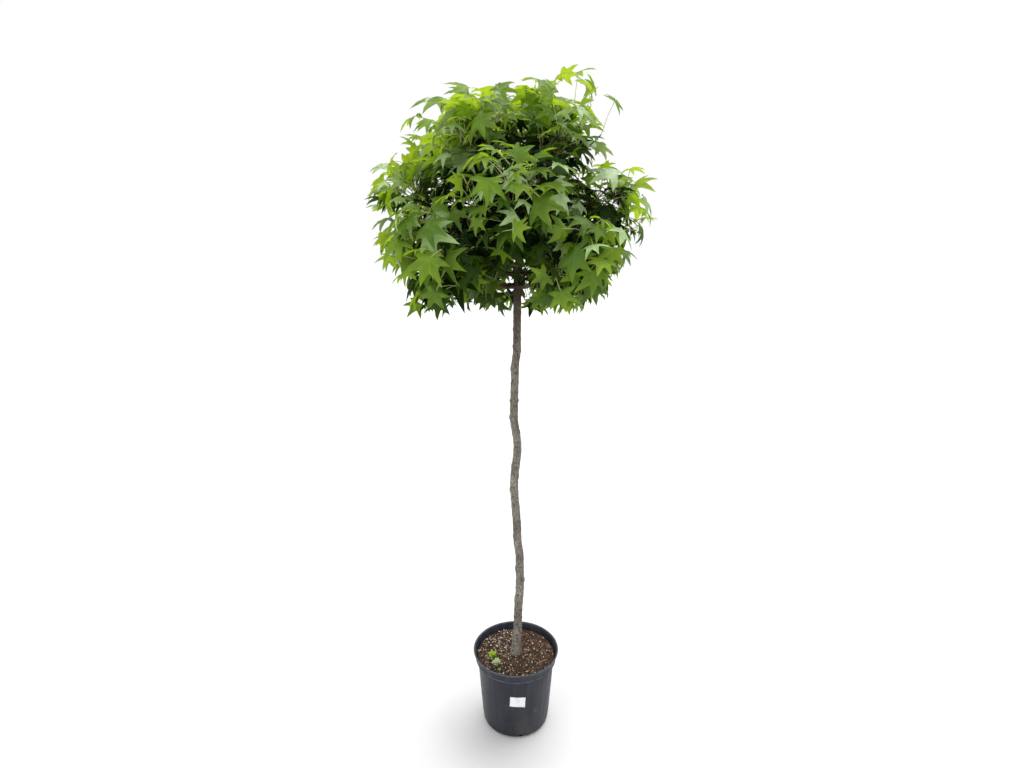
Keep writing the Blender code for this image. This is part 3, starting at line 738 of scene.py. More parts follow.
dealing = {
    "rays": 28,
    "lowestRay": -0.15,
    "clear": 0.015,
    "reach": 0.9,
    "ownPart": 0.6,  # how much a leaf's own view of the sky counts, beside its spray's
    "sprayPart": 0.4,
    "jitter": 0.15,
    "middleShadePart": 0.19,  # painted shade: how much darker the leaves half-way up are
    "middle": (1.69, 0.20),  # their height, and how far it reaches up and down
    # the pale finish is a painted sheen on broad upper faces high in the crown
    "sheenShare": 0.16,
    "sheenBigShare": 0.62,
    "sheenFace": 0.35,  # painted sheen: how far a face has to look up to get the pale finish
    "darkest": 4,  # one leaf in this many is too dark for the painted sheen
    "bigFrom": 0.070,  # blade length
    "sheenFrom": 1.54,  # height
    # from the darkest: name, share of the leaves, colour, colour of the light through them, roughness,
    # share of that light, colour of the ribs, and shine; these lit and shaded copies of one leaf are painted
    # light and shade, and the last, a painted sheen, is dealt to broad upper faces
    "finishes": (
        ("leafShade", 0.28, (0.004, 0.013, 0.002), (0.03, 0.07, 0.003), 0.62, 0.26, (0.01, 0.03, 0.01), 0.1),
        ("leafHalfShade", 0.24, (0.012, 0.036, 0.006), (0.11, 0.21, 0.008), 0.55, 0.34, (0.04, 0.08, 0.02), 0.2),
        ("leafHalfLit", 0.18, (0.034, 0.088, 0.012), (0.29, 0.48, 0.014), 0.46, 0.42, (0.1, 0.17, 0.04), 0.3),
        ("leafLit", 0.16, (0.074, 0.156, 0.018), (0.44, 0.67, 0.022), 0.44, 0.48, (0.18, 0.29, 0.06), 0.3),
        ("leafSun", 0.14, (0.125, 0.235, 0.024), (0.56, 0.78, 0.034), 0.44, 0.52, (0.26, 0.38, 0.08), 0.3),
        # the pale last finish is a painted sheen
        ("leafPaintedSheen", 0, (0.37, 0.53, 0.23), (0.42, 0.6, 0.13), 0.36, 0.22, (0.48, 0.62, 0.32), 0.4),
    ),
}


def dealColours(grown, shapes):
    points, faces = [], []
    for one in grown:
        base = len(points)
        shapePoints, shapeFaces = shapes[one.shape]
        points += [one.matrix @ point for point in shapePoints]
        faces += [tuple(base + corner for corner in face) for face in shapeFaces]
    everything = BVHTree.FromPolygons(points, faces)
    rng = random.Random(seed)
    skies = []
    while len(skies) < dealing["rays"]:
        sky = randomDirection(rng)
        if sky.z > dealing["lowestRay"]:
            skies.append(sky)
    openness = {}
    for one in grown:
        face = (one.matrix.to_3x3() @ up).normalized()
        free = 0
        for sky in skies:
            side = 1 if sky.dot(face) > 0 else -1
            start = one.centre + face * side * dealing["clear"]
            free += everything.ray_cast(start, sky, dealing["reach"])[0] is None
        one.open = free / len(skies)
        openness.setdefault(one.spray, []).append(one.open)
    jitter = {spray: rng.uniform(-1, 1) * dealing["jitter"] for spray in openness}
    ranks = {}
    height, reach = dealing["middle"]
    for one in grown:
        spray = sum(openness[one.spray]) / len(openness[one.spray])
        within = max(1 - abs(one.centre.z - height) / reach, 0)
        rank = one.open * dealing["ownPart"] + spray * dealing["sprayPart"] + jitter[one.spray]
        # leaves half-way up rank darker, as painted shade
        ranks[id(one)] = rank - within * dealing["middleShadePart"]
    ordered = sorted(grown, key=lambda one: ranks[id(one)])
    paintedSheen = len(dealing["finishes"]) - 1
    count = 0
    # darker finishes go to the lower ranks as painted shade, brighter ones to the open leaves as painted
    # light
    for index, finish in enumerate(dealing["finishes"][:paintedSheen]):
        take = round(len(ordered) * finish[1])
        for one in ordered[count:count + take]:
            one.colour = index
        count += take
    for one in ordered[count:]:
        one.colour = paintedSheen - 1
    # the painted sheen: the pale finish goes to upper faces high in the crown
    for one in ordered[len(ordered) // dealing["darkest"]:]:
        face = (one.matrix.to_3x3() @ up).normalized()
        big = one.matrix.to_scale().x > dealing["bigFrom"]
        upper = face.z > dealing["sheenFace"] and one.centre.z > dealing["sheenFrom"]
        if upper and rng.random() < dealing["sheenBigShare" if big else "sheenShare"]:
            one.colour = paintedSheen


def leafMaterial(name, colour, glow, roughness, through, rib, shine):
    material, tree, shader = newMaterial(name, roughness, shine)
    blotch = between(tree, noiseOf(tree, 38, 3), 0.3, 0.7)
    dim = tuple(value * 0.72 for value in colour)
    base = mixed(tree, blotch, dim, colour)
    mask = socketOf(tree, "ShaderNodeAttribute", output="Fac", attribute_name="offRib")
    mask = between(tree, mask, 0.16, 0.05)
    base = mixed(tree, times(tree, mask, 0.6), base, rib)
    tree.links.new(base, shader.inputs["Base Color"])
    veins = noiseOf(tree, 420, 3)
    bumpOf(tree, shader, veins, 0.25, 0.0006)
    thin = tree.nodes.new("ShaderNodeBsdfTranslucent")
    tree.links.new(mixed(tree, blotch, tuple(value * 0.8 for value in glow), glow), thin.inputs["Color"])
    blend = tree.nodes.new("ShaderNodeMixShader")
    blend.inputs[0].default_value = through
    tree.links.new(shader.outputs[0], blend.inputs[1])
    tree.links.new(thin.outputs[0], blend.inputs[2])
    tree.links.new(blend.outputs[0], tree.nodes["Material Output"].inputs["Surface"])
    return material


def stalkMaterial():
    material, tree, shader = newMaterial("leafStalk", 0.5)
    tint = between(tree, noiseOf(tree, 20, 2), 0.35, 0.65)
    tree.links.new(mixed(tree, tint, (0.30, 0.40, 0.12), (0.46, 0.44, 0.22)), shader.inputs["Base Color"])
    return material


def twigMaterial(name, dark, light):
    material, tree, shader = newMaterial(name, 0.75, 0.3)
    tint = between(tree, noiseOf(tree, 90, 4), 0.3, 0.7)
    tree.links.new(mixed(tree, tint, dark, light), shader.inputs["Base Color"])
    bumpOf(tree, shader, noiseOf(tree, 500, 3), 0.4, 0.0006)
    return material


def barkMaterial():
    material, tree, shader = newMaterial("roughBark", 0.86, 0.25)
    patches = between(tree, noiseOf(tree, 42, 5, (1, 1, 0.45)), 0.32, 0.68)
    colour = mixed(tree, patches, (0.118, 0.100, 0.080), (0.310, 0.286, 0.240))
    # dark fissures: partly the darker bark in the cracks, partly painted shade in them
    fissures = between(tree, noiseOf(tree, 230, 5, (1, 1, 0.60), 0.78), 0.41, 0.51)
    colour = mixed(tree, fissures, (0.046, 0.037, 0.027), colour)
    pores = between(tree, spotsOf(tree, 260, (1, 1, 1.6)), 0.28, 0.14)
    colour = mixed(tree, times(tree, pores, 0.80), colour, (0.560, 0.535, 0.470))
    lichen = between(tree, noiseOf(tree, 16, 3), 0.58, 0.70)
    colour = mixed(tree, times(tree, lichen, 0.35), colour, (0.250, 0.262, 0.205))
    # darker reddish-brown towards the top: partly the young bark's own colour, partly painted shade under
    # the crown
    height = socketOf(tree, "ShaderNodeSeparateXYZ", {0: objectPlace(tree)}, "Z")
    youngBarkAndShade = between(tree, height, 1.14, 1.44)
    colour = mixed(tree, times(tree, youngBarkAndShade, 0.86), colour, (0.062, 0.034, 0.026))
    tree.links.new(colour, shader.inputs["Base Color"])
    relief = socketOf(tree, "ShaderNodeMath", {0: fissures, 1: pores}, operation="ADD")
    relief = socketOf(tree, "ShaderNodeMath", {0: relief, 1: noiseOf(tree, 600, 3)}, operation="ADD")
    bumpOf(tree, shader, relief, 0.7, 0.0010)
    return material


def joinLeaves(name, leaves, meshes, materials):
    bm = bmesh.new()
    for one in leaves:
        verts, faces = len(bm.verts), len(bm.faces)
        bm.from_mesh(meshes[one.shape])
        bmesh.ops.transform(bm, matrix=one.matrix, verts=newVerts(bm, verts))
        dealFaces(bm, faces, one.colour)
    return addPiece(f"leaves_{name}", bm, materials, [f"foliage_{name}"], 0)


def joinStalks(name, leaves, material):
    bm = bmesh.new()
    radius = leaf["stalkRadius"]
    for one in leaves:
        sweepTube(bm, one.stalk, (radius * 1.25, radius * 0.9, radius * 1.1), 4)
    return addPiece(f"stalks_{name}", bm, [material], [f"foliage_{name}"])


def tapered(base, tip, count):
    return [base + (tip - base) * i / (count - 1) for i in range(count)]


def joinTwigs(name, stemPoints, shoots, sides, leaves, materials):
    bm = bmesh.new()
    points = smoothLine(stemPoints, 4)
    roots = [line[0] for line in shoots + sides] + [one.stalk[0] for one in leaves]
    nearest = [min((point - root).length for root in roots) for point in points]
    held = [i for i, gap in enumerate(nearest) if gap < twig["stemHeld"]]
    points = points[:max(held + [twig["stemShortest"]]) + 2]
    sweepTube(bm, points, tapered(bough["tipRadius"], twig["stemTipRadius"], len(points)), 8)
    for lines, radii, index in ((shoots, twig["shootRadii"], 0), (sides, twig["sideRadii"], 1)):
        for points in lines:
            start = len(bm.faces)
            sweepTube(bm, points, tapered(*radii, len(points)), 6)
            dealFaces(bm, start, index)
    return addPiece(f"twigs_{name}", bm, materials, [f"foliage_{name}"])


def makeCrown(limbs):
    meshes = [makeLeafShape(index) for index in range(leaf["shapes"])]
    shapes = [([v.co.copy() for v in m.vertices], [tuple(f.vertices) for f in m.polygons]) for m in meshes]
    grown = []
    plants = []
    for index, (name, mass) in enumerate(crown["masses"].items()):
        rng = random.Random(seed * 100 + index)
        space = spaceOf(mass)
        stemPoints = stemLine(mass, boughLine(mass))
        shoots, sides, forks = growTwigs(space, stemPoints, rng)
        leaves = growLeaves(name, space, shoots + sides + [stemPoints], shapes, limbs, grown, rng)
        shoots, sides = trimTwigs(shoots, sides, forks, leaves)
        grown += leaves
        plants.append((name, stemPoints, shoots, sides, leaves))
    dealColours(grown, shapes)
    # the leaf materials are lit and shaded copies of one leaf, painted light and shade, with a painted sheen
    # last
    green = [leafMaterial(name, *finish) for name, share, *finish in dealing["finishes"]]
    stalkGreen = stalkMaterial()
    brown = [
        twigMaterial("shootBark", (0.050, 0.030, 0.022), (0.120, 0.082, 0.055)),
        twigMaterial("twigBark", (0.075, 0.062, 0.028), (0.160, 0.140, 0.060)),
    ]
    for name, stemPoints, shoots, sides, leaves in plants:
        joinTwigs(name, stemPoints, shoots, sides, leaves, brown)
        joinLeaves(name, leaves, meshes, green)
        joinStalks(name, leaves, stalkGreen)
    for mesh in meshes:
        bpy.data.meshes.remove(mesh)
    return len(grown)


# the pot

pot = {
    "height": 0.258,
    "rimRadius": 0.140,
    "collarDepth": 0.033,
    "collarFoot": 0.1305,
    "bodyTop": 0.1255,
    "base": 0.1085,
    "corner": 0.015,
    "holeHeight": 0.009,
    "wall": 0.0022,
    "floor": 0.0030,
    "steps": 144,
    "ribs": 36,
    "ribDepth": 0.00035,
    "ribFade": 0.05,  # the ribs deepen over this height
    "holes": 6,
    "holeRadius": 0.0055,
    "holeLength": 0.03,
    "holeTurn": math.radians(8),
    "scuff": (0.0575, -0.0926, 0.100),  # the place of one pale scuff
}


def wallRadius(height):
    return pot["base"] + (pot["bodyTop"] - pot["base"]) * height / (pot["height"] - pot["collarDepth"])


def potProfile():
    top, foot = pot["height"], pot["height"] - pot["collarDepth"]
    rim, wall = pot["rimRadius"], pot["wall"]
    lip = [
        (rim - 0.002 + 0.002 * math.sin(math.radians(a)), top - 0.002 + 0.002 * math.cos(math.radians(a)))
        for a in range(0, 181, 30)
    ]
    collar = [(rim - 0.0032, top - 0.0052), (rim - 0.0042, top - 0.0080),
              (pot["collarFoot"] + 0.0012, foot + 0.0065)]
    bead = [(pot["collarFoot"] + 0.0010, foot + 0.0046), (pot["collarFoot"] + 0.0022, foot + 0.0034),
            (pot["collarFoot"] + 0.0022, foot + 0.0012), (pot["collarFoot"] + 0.0008, foot - 0.0002),
            (pot["bodyTop"] + 0.0006, foot - 0.0006), (pot["bodyTop"] - 0.0006, foot - 0.0022)]
    body = [(wallRadius(foot * k / 14), foot * k / 14) for k in range(13, 0, -1)]
    body = [(r, z) for r, z in body if z > pot["corner"] * 1.6]
    corner = [
        (wallRadius(0) - pot["corner"] * (1 - math.cos(turn)), pot["corner"] * (1 - math.sin(turn)))
        for turn in (math.pi / 2 * k / 6 for k in range(7))
    ]
    under = [(0.090, 0), (0.0875, 0.0012), (0.064, 0.0012), (0.0625, 0.0004), (0.056, 0.0004),
             (0.0545, 0.0012), (0.010, 0.0012), (0.009, 0.0003), (0, 0.0003)]
    inside = [(0, pot["floor"]), (0.096, pot["floor"]), (wallRadius(0.014) - wall, 0.014)]
    inside += [(wallRadius(foot * k / 8) - wall, foot * k / 8) for k in range(1, 8)]
    inside += [(pot["bodyTop"] - wall, foot - 0.002), (pot["collarFoot"] - wall, foot + 0.003),
               (rim - 0.0062, top - 0.0050), (rim - 0.0040, top - 0.0012)]
    return lip + collar + bead + body + corner + under + inside


def spinProfile(bm, profile, steps):
    verts = [bm.verts.new((radius, 0, height)) for radius, height in profile]
    edges = [bm.edges.new(pair) for pair in zip(verts, verts[1:])]
    if profile[0][0] > 0 and profile[-1][0] > 0:
        edges.append(bm.edges.new((verts[-1], verts[0])))
    bmesh.ops.spin(bm, geom=verts + edges, axis=(0, 0, 1), cent=(0, 0, 0), angle=math.tau, steps=steps,
                   use_merge=True)
    bmesh.ops.remove_doubles(bm, verts=bm.verts, dist=0.00002)
    bmesh.ops.recalc_face_normals(bm, faces=bm.faces)


def makePot(material):
    bm = bmesh.new()
    spinProfile(bm, potProfile(), pot["steps"])
    foot = pot["height"] - pot["collarDepth"]
    for vert in bm.verts:  # shallow moulded ribs on the outside of the wall
        radius = math.hypot(vert.co.x, vert.co.y)
        if pot["corner"] < vert.co.z < foot - 0.003 and radius > wallRadius(vert.co.z) - pot["wall"] / 2:
            fade = min((vert.co.z - pot["corner"]) / pot["ribFade"], 1)
            turn = math.atan2(vert.co.y, vert.co.x)
            radius -= pot["ribDepth"] * fade * max(math.cos(turn * pot["ribs"]), 0) ** 2
            vert.co.x, vert.co.y = radius * math.cos(turn), radius * math.sin(turn)
    shell = addPiece("potShell", bm, [material], ["pot"], 32)
    bm = bmesh.new()
    for i in range(pot["holes"]):
        turn = pot["holeTurn"] + math.tau * (i + 0.5) / pot["holes"]
        start = len(bm.verts)
        bmesh.ops.create_cone(bm, cap_ends=True, segments=24, radius1=pot["holeRadius"],
                              radius2=pot["holeRadius"], depth=pot["holeLength"])
        x, y = pot["base"] * math.cos(turn), pot["base"] * math.sin(turn)
        place = Matrix.Translation((x, y, pot["holeHeight"]))
        lie = Matrix.Rotation(turn, 4, "Z") @ Matrix.Rotation(math.radians(90), 4, "Y")
        bmesh.ops.transform(bm, matrix=place @ lie, verts=newVerts(bm, start))
    mesh = bpy.data.meshes.new("holeCutters")
    bm.to_mesh(mesh)
    bm.free()
    cutter = bpy.data.objects.new("holeCutters", mesh)
    bpy.context.scene.collection.objects.link(cutter)
    drill = shell.modifiers.new("drainHoles", "BOOLEAN")
    drill.object = cutter
    drill.operation = "DIFFERENCE"
    bpy.context.view_layer.update()
    drilled = bpy.data.meshes.new_from_object(shell.evaluated_get(bpy.context.evaluated_depsgraph_get()))
    shell.modifiers.clear()
    shell.data = drilled
    bpy.data.objects.remove(cutter, do_unlink=True)
    return shell


def potMaterial():
    material, tree, shader = newMaterial("blackPotPlastic", 0.46, 0.32)
    cloudy = between(tree, noiseOf(tree, 14, 4), 0.3, 0.7)
    colour = mixed(tree, cloudy, (0.007, 0.010, 0.018), (0.016, 0.020, 0.032))
    streaks = between(tree, noiseOf(tree, 42, 3, (1, 1, 0.07)), 0.50, 0.72)
    colour = mixed(tree, times(tree, streaks, 0.45), colour, (0.040, 0.042, 0.052))
    dust = between(tree, noiseOf(tree, 26, 6, (1, 1, 0.5), 0.72), 0.46, 0.70)
    height = socketOf(tree, "ShaderNodeSeparateXYZ", {0: objectPlace(tree)}, "Z")
    lower = between(tree, height, 0.20, 0.0, 0.25, 1)
    colour = mixed(tree, times(tree, times(tree, dust, lower), 0.75), colour, (0.074, 0.062, 0.058))
    # painted highlight: the top of the lip and a band on the bead are lightened to a bluish grey, broken up
    # by noise
    edges = between(tree, height, 0.2535, 0.2560)
    bead = times(tree, between(tree, height, 0.2255, 0.2270), between(tree, height, 0.2305, 0.2292))
    edges = socketOf(tree, "ShaderNodeMath", {0: edges, 1: bead}, operation="ADD")
    highlightBreakup = between(tree, noiseOf(tree, 60, 4), 0.25, 0.6)
    colour = mixed(tree, times(tree, times(tree, edges, highlightBreakup), 0.7), colour, (0.100, 0.115, 0.150))
    grit = between(tree, spotsOf(tree, 260), 0.16, 0.06)
    grit = times(tree, grit, between(tree, noiseOf(tree, 9, 2), 0.52, 0.70))
    colour = mixed(tree, times(tree, grit, 0.35), colour, (0.180, 0.165, 0.150))
    places = {0: objectPlace(tree), 1: pot["scuff"]}
    away = socketOf(tree, "ShaderNodeVectorMath", places, "Value", operation="DISTANCE")
    scratched = between(tree, noiseOf(tree, 160, 4, (1, 1, 0.3)), 0.4, 0.6)
    scuff = times(tree, between(tree, away, 0.012, 0.003), scratched)
    colour = mixed(tree, times(tree, scuff, 0.6), colour, (0.190, 0.195, 0.210))
    tree.links.new(colour, shader.inputs["Base Color"])
    rough = between(tree, dust, 0, 1, 0.42, 0.72)
    tree.links.new(rough, shader.inputs["Roughness"])
    bumpOf(tree, shader, noiseOf(tree, 900, 2), 0.12, 0.0003)
    return material


# the label: a blank sticker with one lifted corner

label = {
    "width": 0.049,
    "height": 0.037,
    "side": 0.005,
    "middle": 0.148,
    "tilt": math.radians(-3),
    "stand": 0.0005,
    "thickness": 0.0002,
    "lift": 0.0022,
}


def makeLabel(material):
    bm = bmesh.new()
    bmesh.ops.create_grid(bm, x_segments=28, y_segments=18, size=0.5)
    for vert in bm.verts:
        x, y = vert.co.x, vert.co.y
        across, rise = x * label["width"], y * label["height"]
        height = label["middle"] + rise * math.cos(label["tilt"]) + across * math.sin(label["tilt"])
        side = label["side"] + across * math.cos(label["tilt"]) - rise * math.sin(label["tilt"])
        curl = max(x - 0.22 + max(-y, 0) * 0.35, 0) / 0.4
        wrinkle = 0.00012 * noise.noise(Vector((x * 7, y * 5, 2.5)))
        radius = wallRadius(height) + label["stand"] + label["lift"] * curl**2 + wrinkle
        turn = side / radius - math.pi / 2
        vert.co = (radius * math.cos(turn), radius * math.sin(turn), height)
    bmesh.ops.recalc_face_normals(bm, faces=bm.faces)
    if sum(face.normal.y for face in bm.faces) > 0:
        bmesh.ops.reverse_faces(bm, faces=bm.faces)
    piece = addPiece("blankLabel", bm, [material], ["label"], 30)
    sheet = piece.modifiers.new("thickness", "SOLIDIFY")
    sheet.thickness = label["thickness"]
    sheet.offset = -1
    return piece


def paperMaterial():
    material, tree, shader = newMaterial("whitePaper", 0.55, 0.4)
    smudge = between(tree, noiseOf(tree, 70, 5), 0.45, 0.75)
    colour = mixed(tree, times(tree, smudge, 0.5), (0.80, 0.82, 0.85), (0.55, 0.56, 0.57))
    tree.links.new(colour, shader.inputs["Base Color"])
    bumpOf(tree, shader, noiseOf(tree, 260, 3), 0.15, 0.0004)
    return material


# the soil: a rough fill with bark chips, white perlite, wood slivers and small seedlings

soil = {
    "height": 0.238,
    "edgeDrop": 0.003,
    "depth": 0.030,
    "radius": 0.1275,
    "rings": 34,
    "steps": 110,
    "lumps": ((38, 0.0022), (110, 0.0013), (300, 0.0007)),  # how close together, and how high
    "chips": 950,
    "chipSize": (0.0035, 0.0115),
    "chipTaper": 0.55,
    "chipWander": 0.16,
    "redShare": 0.55,  # of the chips at the back right
    "perlite": 330,
    "perliteSize": (0.0008, 0.0034, 0.0013),
    "slivers": 46,
    "keepOff": 0.021,  # round the foot of the stem
}


def soilHeight(x, y):
    far = min(math.hypot(x, y) / soil["radius"], 1)
    place = Vector((x, y, 0))
    lumps = sum(noise.noise(place * scale) * rise for scale, rise in soil["lumps"])
    return soil["height"] - soil["edgeDrop"] * far**3 + lumps * min((1 - far) * 8 + 0.3, 1)


def makeSoil(material):
    bm = bmesh.new()
    reach = soil["radius"]
    low = soil["height"] - soil["depth"]
    profile = [(reach * i / soil["rings"], soil["height"]) for i in range(soil["rings"] + 1)]
    spinProfile(bm, profile + [(wallRadius(low) - pot["wall"] - 0.001, low), (0, low)], soil["steps"])
    for vert in bm.verts:
        if vert.co.z > low + 0.001:
            vert.co.z = soilHeight(vert.co.x, vert.co.y)
    return addPiece("soilFill", bm, [material], ["soil"], 0)


def soilSpot(rng, low=0.0):
    while True:
        x, y = (rng.uniform(-1, 1) * (soil["radius"] - 0.003) for i in range(2))
        if math.hypot(x, y) < soil["radius"] - 0.003 and math.hypot(x, y) > max(low, soil["keepOff"]):
            return x, y


def layOn(bm, start, x, y, size, rng, lean=0.5, rise=0.3):
    turn = Matrix.Rotation(rng.uniform(0, math.tau), 4, "Z")
    tip = Matrix.Rotation(rng.gauss(0, lean), 4, "X") @ Matrix.Rotation(rng.gauss(0, lean), 4, "Y")
    place = Matrix.Translation((x, y, soilHeight(x, y) + min(size) * rise))
    matrix = place @ turn @ tip @ Matrix.Diagonal((*size, 1))
    bmesh.ops.transform(bm, matrix=matrix, verts=newVerts(bm, start))


def makeChips(materials):
    rng = random.Random(seed + 1)
    bm = bmesh.new()
    for i in range(soil["chips"]):
        x, y = soilSpot(rng)
        start, faces = len(bm.verts), len(bm.faces)
        bmesh.ops.create_cube(bm, size=1)
        for vert in newVerts(bm, start):
            taper = soil["chipTaper"] if vert.co.x > 0 else 1
            corner = Vector((vert.co.x, vert.co.y * taper, vert.co.z * taper))
            vert.co = corner + randomDirection(rng) * soil["chipWander"]
        long = rng.uniform(*soil["chipSize"])
        layOn(bm, start, x, y, (long, long * rng.uniform(0.3, 0.6), long * rng.uniform(0.12, 0.3)), rng)
        red = x > 0.03 and y > 0.01 and rng.random() < soil["redShare"]
        dealFaces(bm, faces, 2 if red else rng.choices((0, 1, 2, 3), (50, 32, 9, 9))[0])
    return addPiece("barkChips", bm, materials, [], 20)


def makePerlite(material):
    rng = random.Random(seed + 2)
    bm = bmesh.new()
    count = 0
    while count < soil["perlite"]:
        x, y = soilSpot(rng)
        if rng.random() > (1.0 if x < 0.01 else 0.38) * (1.0 if y > -0.03 else 0.6):
            continue  # it lies thickest at the back left
        start = len(bm.verts)
        bmesh.ops.create_icosphere(bm, subdivisions=1, radius=1)
        for vert in newVerts(bm, start):
            vert.co *= rng.uniform(0.75, 1.2)
        size = rng.triangular(*soil["perliteSize"]) * (1.35 if rng.random() < 0.06 else 1)
        sides = (size, size * rng.uniform(0.7, 1), size * rng.uniform(0.6, 0.9))
        layOn(bm, start, x, y, sides, rng, 0.5, 0.7)
        count += 1
    return addPiece("perliteBits", bm, [material], [], 50)


def makeSlivers(material):
    rng = random.Random(seed + 3)
    bm = bmesh.new()
    # the long one at the right front and the pale bit by the stem, then loose ones
    lines = [((0.069, -0.058), (0.103, -0.035), 0.0012), ((0.026, -0.022), (0.041, -0.011), 0.0022),
             ((0.052, -0.055), (0.054, -0.048), 0.0020)]
    for i in range(soil["slivers"]):
        x, y = soilSpot(rng)
        turn = rng.uniform(0, math.tau)
        long = rng.uniform(0.006, 0.018)
        lines.append(((x, y), (x * 0.97 + long * math.cos(turn), y * 0.97 + long * math.sin(turn)), 0.0006))
    for (x, y), (endX, endY), radius in lines:
        if math.hypot(endX, endY) > soil["radius"] - 0.004 or math.hypot(endX, endY) < soil["keepOff"]:
            continue
        middle = Vector(((x + endX) / 2, (y + endY) / 2, 0))
        middle.z = soilHeight(middle.x, middle.y) + 0.0030
        start = Vector((x, y, soilHeight(x, y) + 0.0012))
        end = Vector((endX, endY, soilHeight(endX, endY) + 0.0022))
        sweepTube(bm, [start, middle, end], (radius * 0.7, radius, radius * 0.6), 5)
    return addPiece("woodSlivers", bm, [material], [], 60)


seedlings = {
    # place on the soil, leaf count, leaf length, stem height, material index
    "plants": ((-0.080, -0.018, 11, 0.0215, 0.012, 0), (-0.062, -0.062, 13, 0.0200, 0.016, 1),
               (-0.053, -0.082, 5, 0.0080, 0.006, 1)),
    "stemRadius": 0.0006,
    # as the leaves' finishes, without a share
    "finishes": (
        ("seedlingBright", (0.300, 0.420, 0.020), (0.500, 0.650, 0.020), 0.5, 0.3, (0.30, 0.42, 0.02), 0.3),
        ("seedlingPale", (0.360, 0.470, 0.190), (0.420, 0.560, 0.180), 0.5, 0.3, (0.42, 0.52, 0.24), 0.3),
    ),
}


def makeSeedlings(materials):
    rng = random.Random(seed + 4)
    bm = bmesh.new()
    for x, y, count, length, tall, index in seedlings["plants"]:
        foot = Vector((x, y, soilHeight(x, y) - 0.002))
        top = foot + Vector((rng.uniform(-0.003, 0.003), rng.uniform(-0.003, 0.003), tall))
        faces = len(bm.faces)
        sweepTube(bm, [foot, foot.lerp(top, 0.5), top], [seedlings["stemRadius"]] * 3, 5)
        for i in range(count):
            turn = i * math.radians(137.5)
            low = 0.45 + 0.55 * i / count
            start = len(bm.verts)
            bmesh.ops.create_circle(bm, cap_ends=True, cap_tris=True, segments=10, radius=1)
            for vert in newVerts(bm, start):
                across = vert.co.y * 0.62
                out = vert.co.x + 1
                width = across * math.sin(min(out + 0.35, 2) / 2 * math.pi)
                vert.co = Vector((out, width, 0.10 * out - 0.16 * out**2))
                vert.co.z += 0.25 * across**2
            tip = Matrix.Rotation(turn, 4, "Z") @ Matrix.Rotation(rng.uniform(-0.7, -0.15), 4, "Y")
            place = Matrix.Translation(foot.lerp(top, low))
            scale = Matrix.Scale(length / 2 * rng.uniform(0.8, 1.15), 4)
            bmesh.ops.transform(bm, matrix=place @ tip @ scale, verts=newVerts(bm, start))
        dealFaces(bm, faces, index)
    return addPiece("seedlings", bm, materials, [], 0)


def soilMaterial():
    material, tree, shader = newMaterial("pottingMix", 0.95, 0.2)
    damp = between(tree, noiseOf(tree, 120, 6), 0.35, 0.65)
    colour = mixed(tree, damp, (0.014, 0.009, 0.006), (0.075, 0.045, 0.028))
    specks = between(tree, spotsOf(tree, 330), 0.22, 0.10)
    colour = mixed(tree, times(tree, specks, 0.5), colour, (0.240, 0.190, 0.140))
    tree.links.new(colour, shader.inputs["Base Color"])
    bumpOf(tree, shader, noiseOf(tree, 420, 6, rough=0.75), 0.9, 0.0016)
    return material


def chipMaterial(name, dark, light, roughness=0.88):
    material, tree, shader = newMaterial(name, roughness, 0.25)
    tint = between(tree, noiseOf(tree, 260, 4), 0.35, 0.65)
    tree.links.new(mixed(tree, tint, dark, light), shader.inputs["Base Color"])
    bumpOf(tree, shader, noiseOf(tree, 900, 3), 0.5, 0.0006)
    return material


# build everything

barkSkin = barkMaterial()
stemPiece = makeStem(barkSkin)
boughPiece = makeBoughs(barkSkin)
print("stem and boughs", len(stemPiece.data.polygons), len(boughPiece.data.polygons))

limbTrees = []
for limb in (stemPiece.data, boughPiece.data):
    corners = [vert.co.copy() for vert in limb.vertices]
    limbTrees.append(BVHTree.FromPolygons(corners, [tuple(face.vertices) for face in limb.polygons]))
print("crown", makeCrown(limbTrees), "leaves")

makePot(potMaterial())
makeLabel(paperMaterial())
print("pot and label")

makeSoil(soilMaterial())
makeChips([
    chipMaterial("chipDark", (0.022, 0.013, 0.009), (0.060, 0.036, 0.024)),
    chipMaterial("chipBrown", (0.070, 0.040, 0.024), (0.150, 0.092, 0.056)),
    chipMaterial("chipRed", (0.110, 0.042, 0.026), (0.210, 0.095, 0.060)),
    chipMaterial("chipTan", (0.230, 0.160, 0.095), (0.420, 0.320, 0.210)),
])
makePerlite(chipMaterial("perliteWhite", (0.420, 0.370, 0.290), (0.800, 0.750, 0.650), 0.8))
makeSlivers(chipMaterial("sliverTan", (0.260, 0.140, 0.075), (0.520, 0.360, 0.220)))
makeSeedlings([leafMaterial(*finish) for finish in seedlings["finishes"]])
print("soil, chips and seedlings")


# studio: a pale floor, soft light and the camera

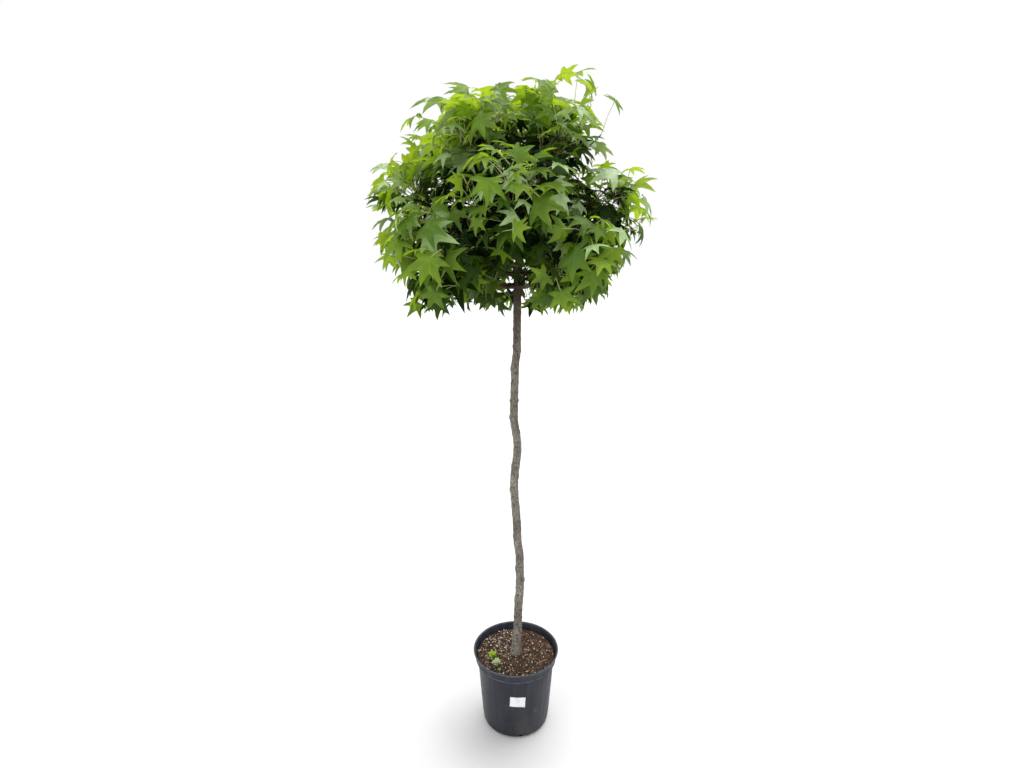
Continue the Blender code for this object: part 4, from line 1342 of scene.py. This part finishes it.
studio = {
    "cameraPlace": (-0.0128, -1.68, 1.525),
    "cameraPitch": -12.5,
    "lens": 20.25,
    "worldColour": (1.0, 1.0, 1.0),
    "worldStrength": 1.0,
    "floorRadius": 60.0,
    "floorDrop": 0.0004,
    "floorColour": (0.66, 0.66, 0.66),
    "floorTint": (0.68, 0.68, 0.68),
    # name, place, aimed at, breadth in degrees, strength
    "lamps": (
        ("overhead", (0.6, 0.9, 4.6), (0, 0, 1.6), 50, 2.6),
        ("frontLeft", (-3.2, -3.0, 3.4), (0, 0, 1.2), 60, 0.5),
    ),
}


def makeStudio():
    bm = bmesh.new()
    bmesh.ops.create_circle(bm, cap_ends=True, segments=96, radius=studio["floorRadius"])
    bmesh.ops.translate(bm, vec=(0, 0, -studio["floorDrop"]), verts=bm.verts)
    mesh = bpy.data.meshes.new("paleFloor")
    bm.to_mesh(mesh)
    bm.free()
    material, tree, shader = newMaterial("paleFloor", 0.9, 0.1)
    patches = between(tree, noiseOf(tree, 3, 3), 0.3, 0.7)
    tint = mixed(tree, patches, studio["floorColour"], studio["floorTint"])
    tree.links.new(tint, shader.inputs["Base Color"])
    mesh.materials.append(material)
    floor = bpy.data.objects.new("paleFloor", mesh)
    bpy.context.scene.collection.objects.link(floor)
    for name, place, aim, breadth, strength in studio["lamps"]:
        light = bpy.data.lights.new(name, "SUN")
        light.angle = math.radians(breadth)
        light.energy = strength
        lamp = bpy.data.objects.new(name, light)
        lamp.location = place
        lamp.rotation_euler = (Vector(aim) - Vector(place)).to_track_quat("-Z", "Y").to_euler()
        bpy.context.scene.collection.objects.link(lamp)
    world = bpy.data.worlds.new("softWhite")
    world.use_nodes = True
    sky = world.node_tree.nodes["Background"]
    sky.inputs["Color"].default_value = (*studio["worldColour"], 1)
    sky.inputs["Strength"].default_value = studio["worldStrength"]
    bpy.context.scene.world = world
    view = bpy.data.cameras.new("camera")
    view.lens = studio["lens"]
    view.sensor_width = 36
    view.clip_end = 100
    camera = bpy.data.objects.new("camera", view)
    camera.location = studio["cameraPlace"]
    camera.rotation_euler = (math.radians(90 + studio["cameraPitch"]), 0, 0)
    bpy.context.scene.collection.objects.link(camera)
    bpy.context.scene.camera = camera
    bpy.context.scene.view_settings.view_transform = "Standard"


makeStudio()
print("studio")
